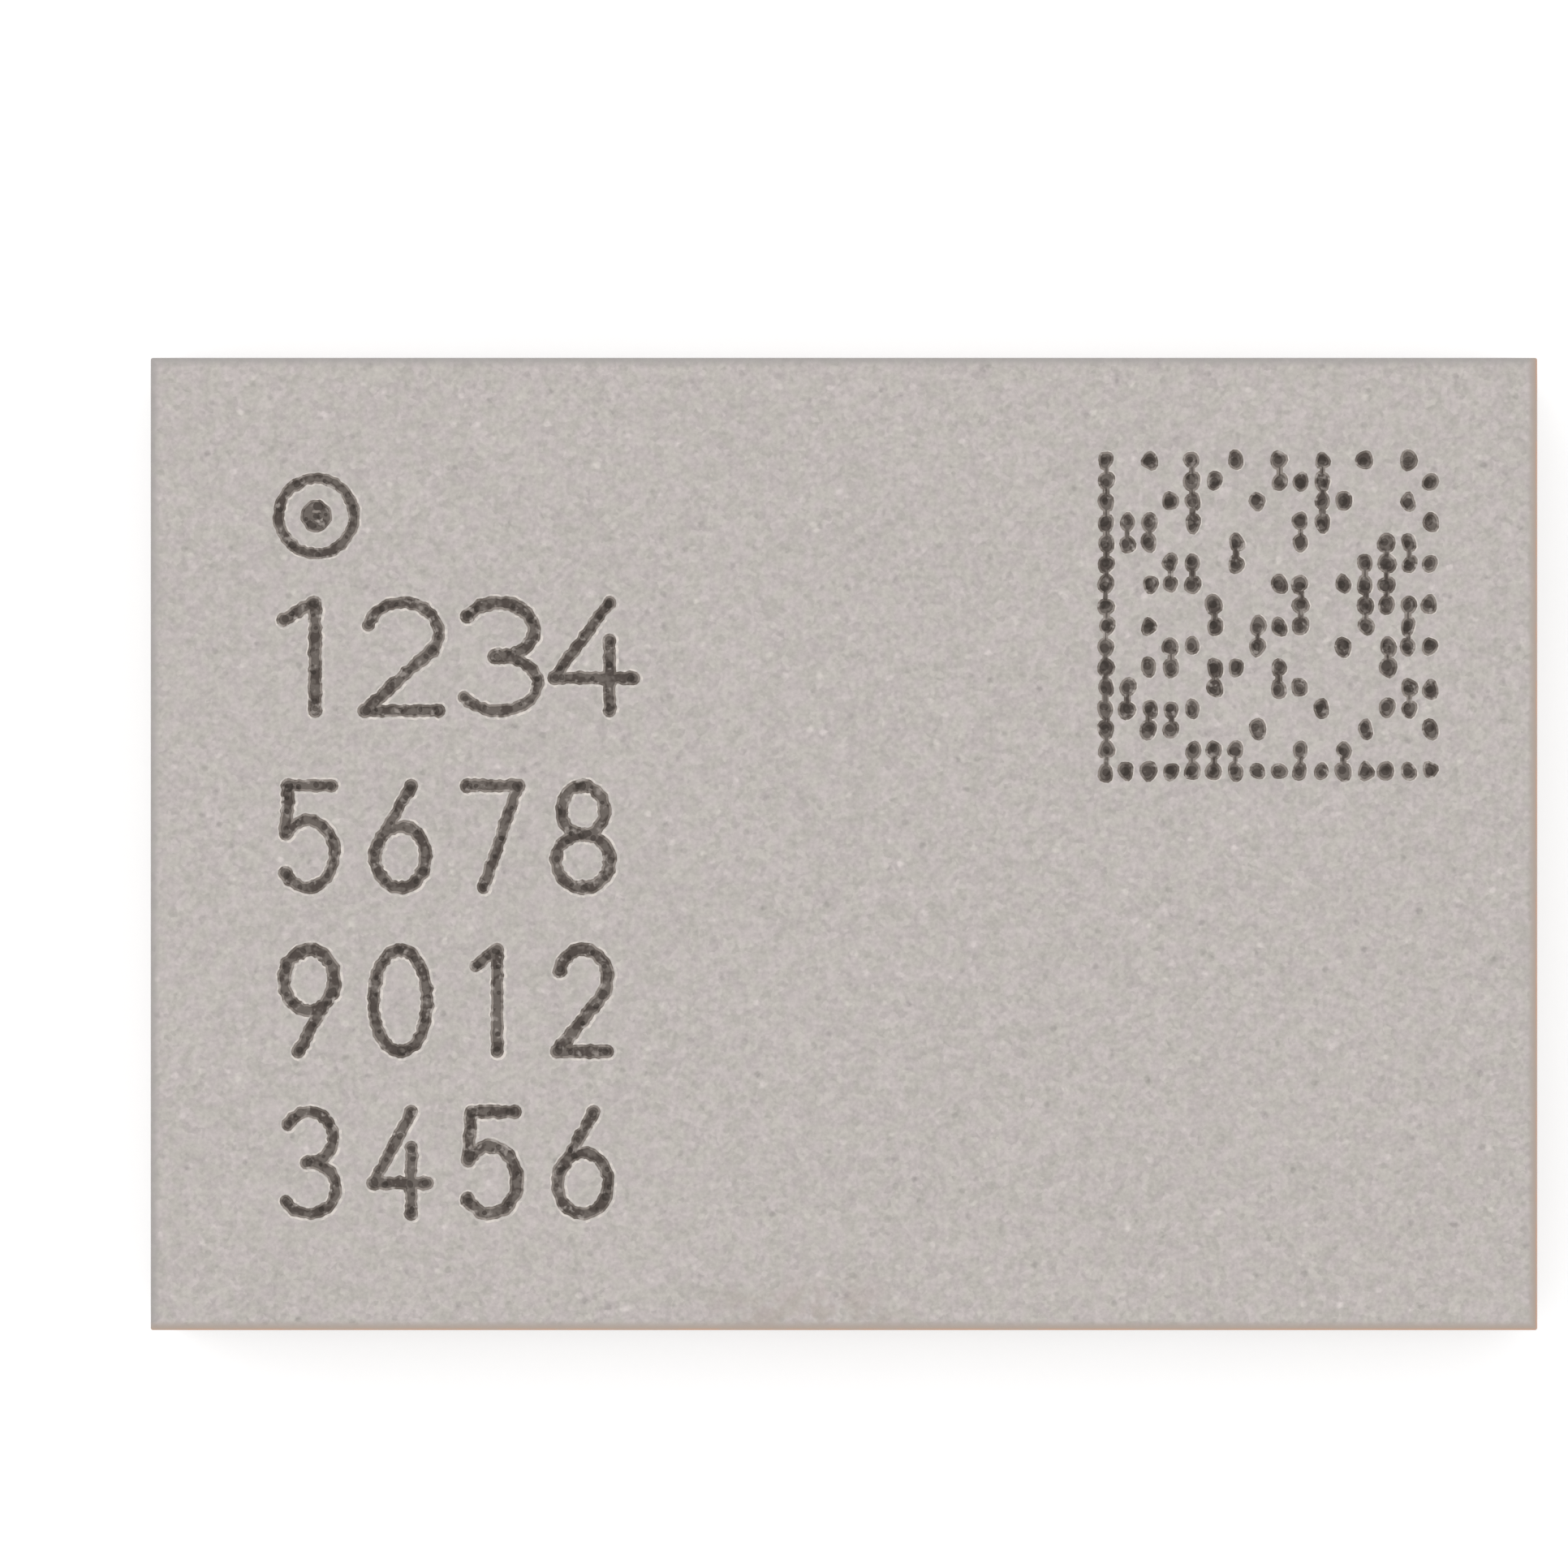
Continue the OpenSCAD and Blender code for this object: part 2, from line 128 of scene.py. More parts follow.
class Graph:
    """The shader nodes of a material or a world.

    Attributes:
        owner: The material or world.
        tree: Its node tree.
    """

    def __init__(self, owner: bpy.types.Material | bpy.types.World) -> None:
        """Empties the owner's node tree, to fill it anew.

        Args:
            owner: The material or world.
        """
        owner.use_nodes = True
        self.owner = owner
        self.tree = owner.node_tree
        self.tree.nodes.clear()

    @classmethod
    def material(cls, name: str) -> "Graph":
        """The empty graph of a new material."""
        return cls(bpy.data.materials.new(name))

    def node(
        self,
        kind: str,
        settings: dict[str, object] | None = None,
        sockets: dict[str | int, object] | None = None,
        output: str | int = 0,
    ) -> Wire:
        """Adds one node.

        Args:
            kind: The node's type, without its ShaderNode prefix.
            settings: Properties, set first.
            sockets: Values or wires for its inputs, by name or number.
            output: The output wanted, by name or number.

        Returns:
            That output.
        """
        made = self.tree.nodes.new("ShaderNode" + kind)
        for key, value in (settings or {}).items():
            setattr(made, key, value)
        for key, value in (sockets or {}).items():
            if isinstance(value, Wire):
                self.tree.links.new(value.socket, made.inputs[key])
            elif isinstance(value, tuple) and made.inputs[key].type == "RGBA":
                made.inputs[key].default_value = (*value[:3], 1.0)
            else:
                made.inputs[key].default_value = value
        return Wire(self, made.outputs[output])

    def math(self, operation: str, *values: "Wire | float") -> Wire:
        """Adds a Math node of that operation on the values."""
        return self.node("Math", {"operation": operation}, dict(enumerate(values)))

    def mix(self, factor: "Wire | float", first: "Wire | Colour", second: "Wire | Colour") -> Wire:
        """Colour between first, where the factor is 0, and second, where it is 1."""
        return self.node("Mix", {"data_type": "RGBA"}, {0: factor, 6: first, 7: second}, 2)

    def tone(self, colour: Wire, level: Wire) -> Wire:
        """The colour times a grey level."""
        grey = self.node("CombineXYZ", None, {0: level, 1: level, 2: level})
        return self.node("VectorMath", {"operation": "MULTIPLY"}, {0: colour, 1: grey})

    def place(self, stretch: tuple[float, float, float] = (1.0, 1.0, 1.0)) -> Wire:
        """Object coordinates in millimetres.

        Args:
            stretch: What they are multiplied by along each axis.

        Returns:
            The coordinates.
        """
        scale = tuple(MM * s for s in stretch)
        where = self.node("TexCoord", output="Object")
        return self.node("Mapping", None, {"Vector": where, "Scale": scale})

    def axes(self) -> tuple[Wire, Wire, Wire]:
        """Object coordinates in millimetres, one wire each."""
        split = self.node("SeparateXYZ", None, {0: self.place()}).socket.node
        return tuple(Wire(self, split.outputs[i]) for i in range(3))

    def noise(self, where: Wire, scale: float, detail: float = 2.0, roughness: float = 0.5) -> Wire:
        """Noise about 0.5, with a scale in cycles to the millimetre."""
        sockets = {"Vector": where, "Scale": scale, "Detail": detail, "Roughness": roughness}
        return self.node("TexNoise", None, sockets)

    def cells(self, where: Wire, scale: float, output: str = "Distance") -> Wire:
        """Cells, with a scale in cells to the millimetre: distance to the middle, or a Color for each."""
        return self.node("TexVoronoi", None, {"Vector": where, "Scale": scale}, output)

    def stray(self, where: Wire, scale: float, reach: float) -> Wire:
        """Coordinates strayed by noise, so that what is drawn on them has uneven edges.

        Args:
            where: The coordinates.
            scale: Cycles of the noise to the millimetre.
            reach: How far they stray, in millimetres.

        Returns:
            The strayed coordinates.
        """
        push = self.node("TexNoise", None, {"Vector": where, "Scale": scale, "Detail": 1.0}, "Color")
        reach3 = (reach, reach, reach)
        return self.node("VectorMath", {"operation": "MULTIPLY_ADD"}, {0: push, 1: reach3, 2: where})

    def ramp(self, value: Wire, low: float, high: float) -> Wire:
        """0 below low and 1 above high, with a smooth change between."""
        sockets = {"Value": value, "From Min": low, "From Max": high}
        return self.node("MapRange", {"interpolation_type": "SMOOTHSTEP"}, sockets)

    def bump(self, height: Wire, distance: float, strength: float = 1.0) -> Wire:
        """A surface normal from a height.

        Args:
            height: Height from 0 to 1.
            distance: Its full travel in millimetres.
            strength: Share of the effect that is kept.

        Returns:
            The normal.
        """
        return self.node("Bump", None, {"Height": height, "Distance": distance / MM, "Strength": strength})

    def finish(self, **sockets: "Wire | float | Colour") -> bpy.types.Material:
        """Ends the graph in a Principled shader.

        Args:
            **sockets: Its inputs, with underscores for spaces.

        Returns:
            The material.
        """
        named = {key.replace("_", " "): value for key, value in sockets.items()}
        self.end(self.node("BsdfPrincipled", None, named))
        return self.owner

    def end(self, shader: Wire, kind: str = "OutputMaterial") -> None:
        """Joins a shader to an output node of that kind."""
        output = self.tree.nodes.new("ShaderNode" + kind)
        self.tree.links.new(shader.socket, output.inputs["Surface"])


# ---------------------------------------------------------------- finishes


@dataclass(frozen=True)
class Mottle:
    """One layer of the film's mottling.

    Attributes:
        scale: Its cycles, or its cells, to the millimetre.
        share: How far it lightens or darkens the film.
    """

    scale: float
    share: float


@dataclass(frozen=True)
class Fleck(Mottle):
    """Flecks scattered in the film, one to a cell.

    Attributes:
        edge: Distance from a cell's middle where a fleck starts and where it is full, in cells.
    """

    edge: Span


@dataclass(frozen=True)
class FilmFinish:
    """Sputtered metal film: matte and finely mottled, with painted shade beside its top arrises and copper
    showing where they are rubbed through.

    Attributes:
        half: Half the film's length and width, in millimetres.
        top: Height of its top face.
        foot: Height of its lower edge.
        seams: Heights at which the layers under the film meet.
        warm: Colour of the pinkish mottling.
        cool: Colour of the greenish mottling.
        smear: Colour of the brown smear at the front edge.
        arris_shade_grey: Painted shade beside every arris, standing in for the shade on the rounded arris.
        arris_shade_brown: Painted shade, brownish, beside the right and front arrises, over the grey.
        copper: Colour where the copper under the steel shows at the top.
        foot_copper: The same at the sawn foot.
        hue_scale: Cycles of the warm and cool mottling to the millimetre.
        blotch: The widest mottling.
        grain: The finest mottling.
        plate: The small uneven plates that the film has settled in.
        bright: Light flecks.
        dark: Dark flecks.
        turn: How far below the top face the sides start and are in full force.
        sawn_level: Brightness of the sides against the top.
        streak: Share of the long level streaks on the sides.
        streak_stretch: Their cycles to the millimetre along each axis.
        drag: Share of the short ones.
        drag_stretch: Their cycles to the millimetre along each axis.
        seam: How far a seam darkens the sides.
        seam_half: How far from a seam its line starts and is full.
        smear_at: Middle of the smear, across.
        smear_half: How far from there it starts and is full.
        smear_rise: Where towards the front edge it starts and is full.
        smear_share: How much of its colour shows.
        arris_shade_in: How far in from an arris the painted shade starts and is full.
        arris_shade_down: How far below the top face the same starts and is full.
        arris_shade_share: How much of the painted grey shade shows.
        brown_shade_share: How much of the painted brown shade shows.
        copper_in: How far in from the right and front faces the copper starts and is full.
        copper_up: How far above the foot it starts and is full.
        copper_share: How much of it shows at the top.
        foot_share: How much of it shows at the foot.
        metallic: How far the film shades as bare metal.
        roughness: Mean roughness.
        relief: Depth of its texture in millimetres.
    """

    half: Point
    top: float
    foot: float
    seams: Span
    warm: Colour = srgb(193, 185, 183)
    cool: Colour = srgb(190, 185, 179)
    smear: Colour = srgb(168, 152, 144)
    # painted shade beside the top arrises: grey all round, brown at the right and front
    arris_shade_grey: Colour = srgb(166, 162, 160)
    arris_shade_brown: Colour = srgb(181, 165, 153)
    copper: Colour = srgb(206, 158, 128)
    foot_copper: Colour = srgb(158, 92, 60)
    hue_scale: float = 9.0
    blotch: Mottle = Mottle(11.0, 0.05)
    grain: Mottle = Mottle(34.0, 0.5)
    plate: Mottle = Mottle(27.0, 0.14)
    bright: Fleck = Fleck(6.6, 0.16, (0.19, 0.07))
    dark: Fleck = Fleck(7.4, 0.15, (0.19, 0.08))
    turn: Span = (0.02, 0.026)
    sawn_level: float = 0.9
    streak: float = 0.36
    streak_stretch: tuple[float, float, float] = (0.5, 0.5, 60.0)
    drag: float = 0.3
    drag_stretch: tuple[float, float, float] = (1.2, 1.2, 9.0)
    seam: float = 0.2
    seam_half: Span = (0.012, 0.003)
    smear_at: float = -0.2
    smear_half: Span = (0.75, 0.2)
    smear_rise: Span = (-2.3, -2.62)
    smear_share: float = 0.35
    arris_shade_in: Span = (0.06, 0.004)
    arris_shade_down: Span = (0.03, 0.012)
    arris_shade_share: float = 0.75
    brown_shade_share: float = 0.9
    copper_in: Span = (0.014, 0.005)
    copper_up: Span = (0.024, 0.01)
    copper_share: float = 0.6
    foot_share: float = 0.9
    metallic: float = 0.7
    roughness: float = 0.46
    relief: float = 0.004

    def build(self) -> bpy.types.Material:
        """Makes the material.

        Returns:
            The material.
        """
        g = Graph.material("shield_film")
        where = g.place()
        x, y, z = g.axes()
        hue = g.ramp(g.noise(where, self.hue_scale, detail=1.0), 0.35, 0.65)
        blotch = g.noise(where, self.blotch.scale, roughness=0.6)
        grain = g.noise(where, self.grain.scale, roughness=0.55)
        plates = self.plates(g, where)
        bright = self.flecks(g, g.place((1.0, 1.2, 1.0)), self.bright)
        dark = self.flecks(g, where, self.dark)
        side = g.ramp(z, self.top - self.turn[0], self.top - self.turn[1])
        streak = g.noise(g.place(self.streak_stretch), 1.0, detail=3.0, roughness=0.65)
        level = 1.0 + self.blotch.share * (blotch - 0.5) + self.grain.share * (grain - 0.5)
        level = level + self.plate.share * (plates - 0.5)
        level = level + self.bright.share * bright - self.dark.share * dark
        sawn = self.sawn(g, z, side, streak)
        flat = g.tone(g.mix(hue, self.warm, self.cool), level * (1.0 + side * (sawn - 1.0)))
        stained = g.mix(self.stain(g, where, x, y) * self.smear_share, flat, self.smear)
        height = 0.5 * blotch + 0.5 * grain + side * (1.2 * streak)
        return g.finish(
            Base_Color=self.arris_shade_and_wear(g, stained, where, (x, y, z)),
            Metallic=self.metallic,
            Roughness=self.roughness + 0.12 * (grain - 0.5) + 0.06 * side,
            Normal=g.bump(height, self.relief, strength=0.5),
        )

    def plates(self, g: Graph, where: Wire) -> Wire:
        """A grey for each of the film's small plates."""
        tint = g.cells(g.stray(where, scale=25.0, reach=0.035), self.plate.scale, "Color")
        return g.node("SeparateXYZ", None, {0: tint})

    def flecks(self, g: Graph, where: Wire, fleck: Fleck) -> Wire:
        """1 on flecks with uneven edges, and 0 between them."""
        return g.ramp(g.cells(g.stray(where, scale=40.0, reach=0.02), fleck.scale), *fleck.edge)

    def sawn(self, g: Graph, z: Wire, side: Wire, streak: Wire) -> Wire:
        """Brightness of the sawn sides: streaked along their length, with a line at each seam.

        Args:
            g: The graph.
            z: Height in millimetres.
            side: 1 on the sides and 0 on the top face.
            streak: Noise of the long streaks.

        Returns:
            The brightness.
        """
        drag = g.noise(g.place(self.drag_stretch), 1.0, roughness=0.6)
        streaks = self.streak * (streak - 0.5) + self.drag * (drag - 0.5)
        return self.sawn_level + side * streaks - side * self.seam_lines(g, z)

    def seam_lines(self, g: Graph, z: Wire) -> Wire:
        """Faint lines on the sides where the mouldings meet the laminate.

        Args:
            g: The graph.
            z: Height in millimetres.

        Returns:
            How much darker each height is.
        """
        lower, upper = (g.ramp(abs(z - seam), *self.seam_half) for seam in self.seams)
        return self.seam * lower + self.seam * upper

    def stain(self, g: Graph, where: Wire, x: Wire, y: Wire) -> Wire:
        """A faint smear at the front edge of the top face.

        Args:
            g: The graph.
            where: Object coordinates in millimetres.
            x: The first of them.
            y: The second.

        Returns:
            1 where the smear is thickest, and 0 where there is none.
        """
        across = g.ramp(abs(x - self.smear_at), *self.smear_half)
        along = g.ramp(y, *self.smear_rise)
        return across * along * g.ramp(g.noise(where, 7.0, detail=3.0, roughness=0.6), 0.42, 0.62)

    def arris_shade_and_wear(self, g: Graph, flat: Wire, where: Wire, axes: tuple[Wire, Wire, Wire]) -> Wire:
        """Puts painted shade beside the film's top arrises, grey at every arris and brown at the right and
        front ones, and lets the copper show there and at the foot.

        Args:
            g: The graph.
            flat: The film's own colour.
            where: Object coordinates in millimetres.
            axes: The same, one wire each.

        Returns:
            The colour with its painted arris shade and its copper.
        """
        x, y, z = axes

        def band(distance: Wire, half: float) -> Wire:
            """1 at an arris that far from the middle, and 0 further in."""
            return g.ramp(distance, half - self.arris_shade_in[0], half - self.arris_shade_in[1])

        upper = g.ramp(z, self.top - self.arris_shade_down[0], self.top - self.arris_shade_down[1])
        # painted shade: darker grey beside every top arris and brown beside the right and front ones,
        # standing in for the shade on the rounded arrises
        every = g.math("MAXIMUM", band(abs(x), self.half[0]), band(abs(y), self.half[1]))
        front = g.math("MAXIMUM", band(x, self.half[0]), band(-1.0 * y, self.half[1]))
        shaded = g.mix(every * upper * self.arris_shade_share, flat, self.arris_shade_grey)
        shaded = g.mix(front * upper * self.brown_shade_share, shaded, self.arris_shade_brown)
        outside = g.math("MAXIMUM", x - self.half[0], -1.0 * y - self.half[1])
        rim = g.ramp(outside, -self.copper_in[0], -self.copper_in[1])
        foot = g.ramp(z, self.foot + self.copper_up[0], self.foot + self.copper_up[1])
        patchy = 0.3 + 0.7 * g.ramp(g.noise(where, 5.0, detail=3.0, roughness=0.6), 0.35, 0.6)
        shaded = g.mix(self.copper_share * rim * upper * patchy, shaded, self.copper)
        return g.mix(self.foot_share * foot * patchy, shaded, self.foot_copper)


@dataclass(frozen=True)
class BurnFinish:
    """One depth of a laser mark: a burnt brown-grey with bare and sooty specks.

    Attributes:
        name: The material's name.
        base: Main colour.
        soot: Colour of its dark specks.
        bare: Colour of its light specks.
    """

    name: str
    base: Colour
    soot: Colour
    bare: Colour

    def build(self) -> bpy.types.Material:
        """Makes the material.

        Returns:
            The material.
        """
        g = Graph.material(self.name)
        where = g.place()
        sooty = g.ramp(g.noise(where, 15.0, roughness=0.6), 0.55, 0.42)
        bare = g.ramp(g.noise(where, 21.0, roughness=0.55), 0.56, 0.7)
        grain = g.noise(where, 48.0, detail=1.0)
        dark = g.mix(sooty, self.base, self.soot)
        colour = g.tone(g.mix(bare, dark, self.bare), 1.0 + 0.3 * (grain - 0.5))
        return g.finish(Base_Color=colour, Metallic=0.3, Roughness=0.8, Normal=g.bump(grain, distance=0.004))


@dataclass(frozen=True)
class RimHighlightFinish:
    """Painted highlight on the smooth raised rim that the laser leaves round a mark: a bright colour that
    stands in for the light its lip catches.

    Attributes:
        bright: Its brightest colour, the strongest painted highlight.
        plain: Its colour between the bright places, a weaker painted highlight.
    """

    bright: Colour = srgb(224, 216, 209)
    plain: Colour = srgb(198, 192, 187)

    def build(self) -> bpy.types.Material:
        """Makes the material.

        Returns:
            The material.
        """
        g = Graph.material("laser_rim_highlight")
        grain = g.noise(g.place(), 24.0, roughness=0.6)
        # painted highlight: patches of the bright colour over the plain one
        colour = g.mix(g.ramp(grain, 0.42, 0.66), self.plain, self.bright)
        return g.finish(Base_Color=colour, Metallic=0.7, Roughness=0.4 + 0.1 * grain)


@dataclass(frozen=True)
class CompoundFinish:
    """Filled epoxy moulding compound: near black, with fine grey filler grains.

    Attributes:
        name: The material's name.
        base: Colour of the resin.
        cast: Colour of its browner clouds.
        filler: Colour of the filler grains that show.
        share: How much of the surface the filler takes, from 0 to 1.
        roughness: Mean roughness.
        relief: Depth of its texture in millimetres.
    """

    name: str
    base: Colour = srgb(48, 48, 58)
    cast: Colour = srgb(64, 59, 59)
    filler: Colour = srgb(84, 81, 86)
    share: float = 0.25
    roughness: float = 0.55
    relief: float = 0.003

    def build(self) -> bpy.types.Material:
        """Makes the material.

        Returns:
            The material.
        """
        g = Graph.material(self.name)
        where = g.place()
        cloud = g.noise(where, 1.6, detail=3.0, roughness=0.6)
        grain = g.noise(where, 38.0, roughness=0.6)
        bound = 0.4 * self.share
        speck = g.ramp(g.noise(where, 17.0, detail=1.0), 0.75 - bound, 0.9 - bound)
        resin = g.mix(g.ramp(cloud, 0.4, 0.62), self.base, self.cast)
        colour = g.tone(g.mix(speck, resin, self.filler), 1.0 + 0.5 * (grain - 0.5))
        return g.finish(
            Base_Color=colour,
            Roughness=self.roughness + 0.25 * (grain - 0.5) - 0.1 * speck,
            Normal=g.bump(0.6 * grain + 0.4 * speck, self.relief),
        )


@dataclass(frozen=True)
class MetalFinish:
    """Plain metal: solder, copper or tin plating.

    Attributes:
        name: The material's name.
        base: Main colour.
        tarnish_and_reflection_gap: Colour of its duller patches; on the solder balls these patches, with the
            bright base between them, are partly tarnish and partly painted reflection of lights and the dark
            gaps between them.
        roughness: Mean roughness.
        relief: Depth of its dimples in millimetres.
        grain: Cycles of its grain to the millimetre.
    """

    name: str
    base: Colour
    tarnish_and_reflection_gap: Colour
    roughness: float
    relief: float = 0.002
    grain: float = 18.0

    def build(self) -> bpy.types.Material:
        """Makes the material.

        Returns:
            The material.
        """
        g = Graph.material(self.name)
        where = g.place()
        # on the solder balls these patches are partly tarnish and partly painted reflection
        tarnish_and_reflection_patch = g.ramp(g.noise(where, self.grain * 0.5), 0.45, 0.7)
        dimple = g.noise(where, self.grain, roughness=0.55)
        return g.finish(
            Base_Color=g.mix(tarnish_and_reflection_patch, self.base, self.tarnish_and_reflection_gap),
            Metallic=1.0,
            Roughness=self.roughness + 0.1 * tarnish_and_reflection_patch + 0.06 * (dimple - 0.5),
            Normal=g.bump(dimple, self.relief),
        )


@dataclass(frozen=True)
class CrystalFinish:
    """Polished die or fired ceramic, with a faint cloud and a fine tooth.

    Attributes:
        name: The material's name.
        base: Main colour.
        cloud: Colour of its clouding.
        roughness: Mean roughness.
    """

    name: str
    base: Colour
    cloud: Colour
    roughness: float

    def build(self) -> bpy.types.Material:
        """Makes the material.

        Returns:
            The material.
        """
        g = Graph.material(self.name)
        where = g.place()
        cloud = g.ramp(g.noise(where, 4.0, detail=3.0, roughness=0.6), 0.35, 0.7)
        tooth = g.noise(where, 60.0, detail=1.0)
        return g.finish(
            Base_Color=g.mix(cloud, self.base, self.cloud),
            Roughness=self.roughness + 0.15 * (tooth - 0.5),
            Normal=g.bump(tooth, distance=0.001),
        )


@dataclass(frozen=True)
class WeaveFinish:
    """Laminate of resin over woven glass.

    Attributes:
        resin: Colour of the resin.
        glass: Colour where the glass lies near the surface.
        pitch: Distance between two threads, in millimetres.
    """

    resin: Colour = srgb(122, 108, 62)
    glass: Colour = srgb(160, 148, 104)
    pitch: float = 0.4

    def build(self) -> bpy.types.Material:
        """Makes the material.

        Returns:
            The material.
        """
        g = Graph.material("laminate_resin")
        x, y, _ = g.axes()
        turn = 2 * math.pi / self.pitch
        weave = 0.5 + 0.25 * g.math("SINE", x * turn) + 0.25 * g.math("SINE", y * turn)
        return g.finish(
            Base_Color=g.mix(weave, self.resin, self.glass),
            Roughness=0.5 + 0.1 * weave,
            Normal=g.bump(weave, distance=0.004),
        )


# ---------------------------------------------------------------- modelling


def activate(piece: bpy.types.Object) -> None:
    """Selects one object alone and makes it the active one.

    Args:
        piece: The object.
    """
    bpy.ops.object.select_all(action="DESELECT")
    piece.select_set(True)
    bpy.context.view_layer.objects.active = piece


@contextmanager
def editing(piece: bpy.types.Object, mode: str = "EDGE") -> Iterator[None]:
    """Edit mode on one object, with nothing selected at the start.

    Args:
        piece: The object.
        mode: VERT, EDGE or FACE.

    Yields:
        Nothing.
    """
    activate(piece)
    bpy.ops.object.mode_set(mode="EDIT")
    bpy.ops.mesh.select_mode(type=mode)
    bpy.ops.mesh.select_all(action="DESELECT")
    yield
    bpy.ops.object.mode_set(mode="OBJECT")


def pick(parts: Sequence[object], wanted: Callable[[object], bool]) -> None:
    """Selects some of the vertices, edges or faces of the edited mesh.

    Args:
        parts: All of its vertices, edges or faces.
        wanted: Tells whether one of them is selected.
    """
    bpy.ops.object.mode_set(mode="OBJECT")
    for part in parts:
        part.select = wanted(part)
    bpy.ops.object.mode_set(mode="EDIT")


def heights(mesh: bpy.types.Mesh, edge: bpy.types.MeshEdge) -> list[float]:
    """Heights of an edge's two ends."""
    return [mesh.vertices[end].co.z for end in edge.vertices]


def smooth(piece: bpy.types.Object, degrees: float) -> None:
    """Shades a piece smooth wherever its faces meet at less than an angle, and flat elsewhere.

    Args:
        piece: The piece.
        degrees: The angle.
    """
    activate(piece)
    bpy.ops.object.shade_smooth_by_angle(angle=math.radians(degrees))


def fix_place(piece: bpy.types.Object) -> bpy.types.Object:
    """Moves an object's place, turn and scale into its mesh.

    Args:
        piece: The object.

    Returns:
        The same object.
    """
    activate(piece)
    bpy.ops.object.transform_apply(location=True, rotation=True, scale=True)
    return piece


def add_block(name: str, low: Sequence[float], high: Sequence[float]) -> bpy.types.Object:
    """Adds a box between two corners.

    Args:
        name: The object's name.
        low: Its lowest corner, in millimetres.
        high: Its highest corner.

    Returns:
        The box.
    """
    size = [h - l for l, h in zip(low, high)]
    centre = [(h + l) / 2 for l, h in zip(low, high)]
    bpy.ops.mesh.primitive_cube_add(size=1.0, location=centre, scale=size)
    block = bpy.context.active_object
    block.name = name
    return fix_place(block)


def twin(piece: bpy.types.Object, name: str, shift: Sequence[float] = (0, 0, 0)) -> bpy.types.Object:
    """A copy of a piece with its own mesh, moved by shift.

    Args:
        piece: What is copied.
        name: The copy's name.
        shift: How far its mesh moves, in millimetres.

    Returns:
        The copy.
    """
    copy = bpy.data.objects.new(name, piece.data.copy())
    copy.data.transform(Matrix.Translation(Vector(shift)))
    bpy.context.scene.collection.objects.link(copy)
    return copy


def join(pieces: Sequence[bpy.types.Object], name: str) -> bpy.types.Object:
    """Joins pieces into one object.

    Args:
        pieces: The pieces.
        name: The joined object's name.

    Returns:
        The joined object.
    """
    activate(pieces[0])
    for piece in pieces:
        piece.select_set(True)
    if len(pieces) > 1:
        bpy.ops.object.join()
    made = bpy.context.active_object
    made.name = name
    return made


def carve(piece: bpy.types.Object, tools: Sequence[bpy.types.Object]) -> None:
    """Cuts tools out of a piece in one Boolean and deletes them. A cut face takes its tool's material.

    Args:
        piece: What is cut.
        tools: The cutting solids. They may overlap each other.
    """
    tray = bpy.data.collections.new("tools")
    bpy.context.scene.collection.children.link(tray)
    for tool in tools:
        for home in list(tool.users_collection):
            home.objects.unlink(tool)
        tray.objects.link(tool)
    activate(piece)
    cut = piece.modifiers.new("cut", "BOOLEAN")
    cut.operation, cut.operand_type, cut.solver = "DIFFERENCE", "COLLECTION", "EXACT"
    cut.material_mode = "TRANSFER"
    cut.collection = tray
    cut.show_viewport = False  # so that only the next line works it out
    bpy.ops.object.modifier_apply(modifier=cut.name)
    for tool in tools:
        bpy.data.meshes.remove(tool.data)
    bpy.data.collections.remove(tray)
    with editing(piece, "VERT"):  # closes the hair-thin faces that the cut leaves
        bpy.ops.mesh.select_all(action="SELECT")
        bpy.ops.mesh.remove_doubles(threshold=HAIR)
        bpy.ops.mesh.dissolve_degenerate(threshold=HAIR)


def settle(piece: bpy.types.Object, slot: str, *nodes: str) -> None:
    """Turns a finished piece from millimetres to metres and hands it to the frame.

    Args:
        piece: The finished piece.
        slot: The record's material slot. Not used.
        *nodes: The solids that it stands for.
    """
    piece.data.transform(Matrix.Scale(1 / MM, 4))
    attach(piece, "root")
    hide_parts(*nodes)
    LOG.info("%s: %d faces, for %s", piece.name, len(piece.data.polygons), ", ".join(nodes))


def box_mm(node: str) -> tuple[Vector, Vector]:
    """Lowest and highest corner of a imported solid, in millimetres."""
    low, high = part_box(node)
    return Vector(low) * MM, Vector(high) * MM


# ---------------------------------------------------------------- laser marks


@dataclass(frozen=True)
class Arc:
    """Part of an ellipse in a character's cell, which runs from -0.5 to 0.5 each way.

    Attributes:
        x: Centre across.
        y: Centre up.
        across: Half its width.
        up: Half its height.
        start: Angle in degrees where it starts, anticlockwise from the right.
        stop: Angle where it ends.
    """

    x: float
    y: float
    across: float
    up: float
    start: float
    stop: float

    def points(self) -> list[Point]:
        """Points along the arc, about every ten degrees.

        Returns:
            The points, both ends among them.
        """
        sweep = self.stop - self.start
        count = max(2, round(abs(sweep) / 10))
        angles = [math.radians(self.start + sweep * i / count) for i in range(count + 1)]
        return [(self.x + self.across * math.cos(a), self.y + self.up * math.sin(a)) for a in angles]


@dataclass(frozen=True)
class Line:
    """A straight line in a character's cell.

    Attributes:
        start: Where it starts.
        stop: Where it ends.
    """

    start: Point
    stop: Point

    def points(self) -> list[Point]:
        """The line's two ends."""
        return [self.start, self.stop]


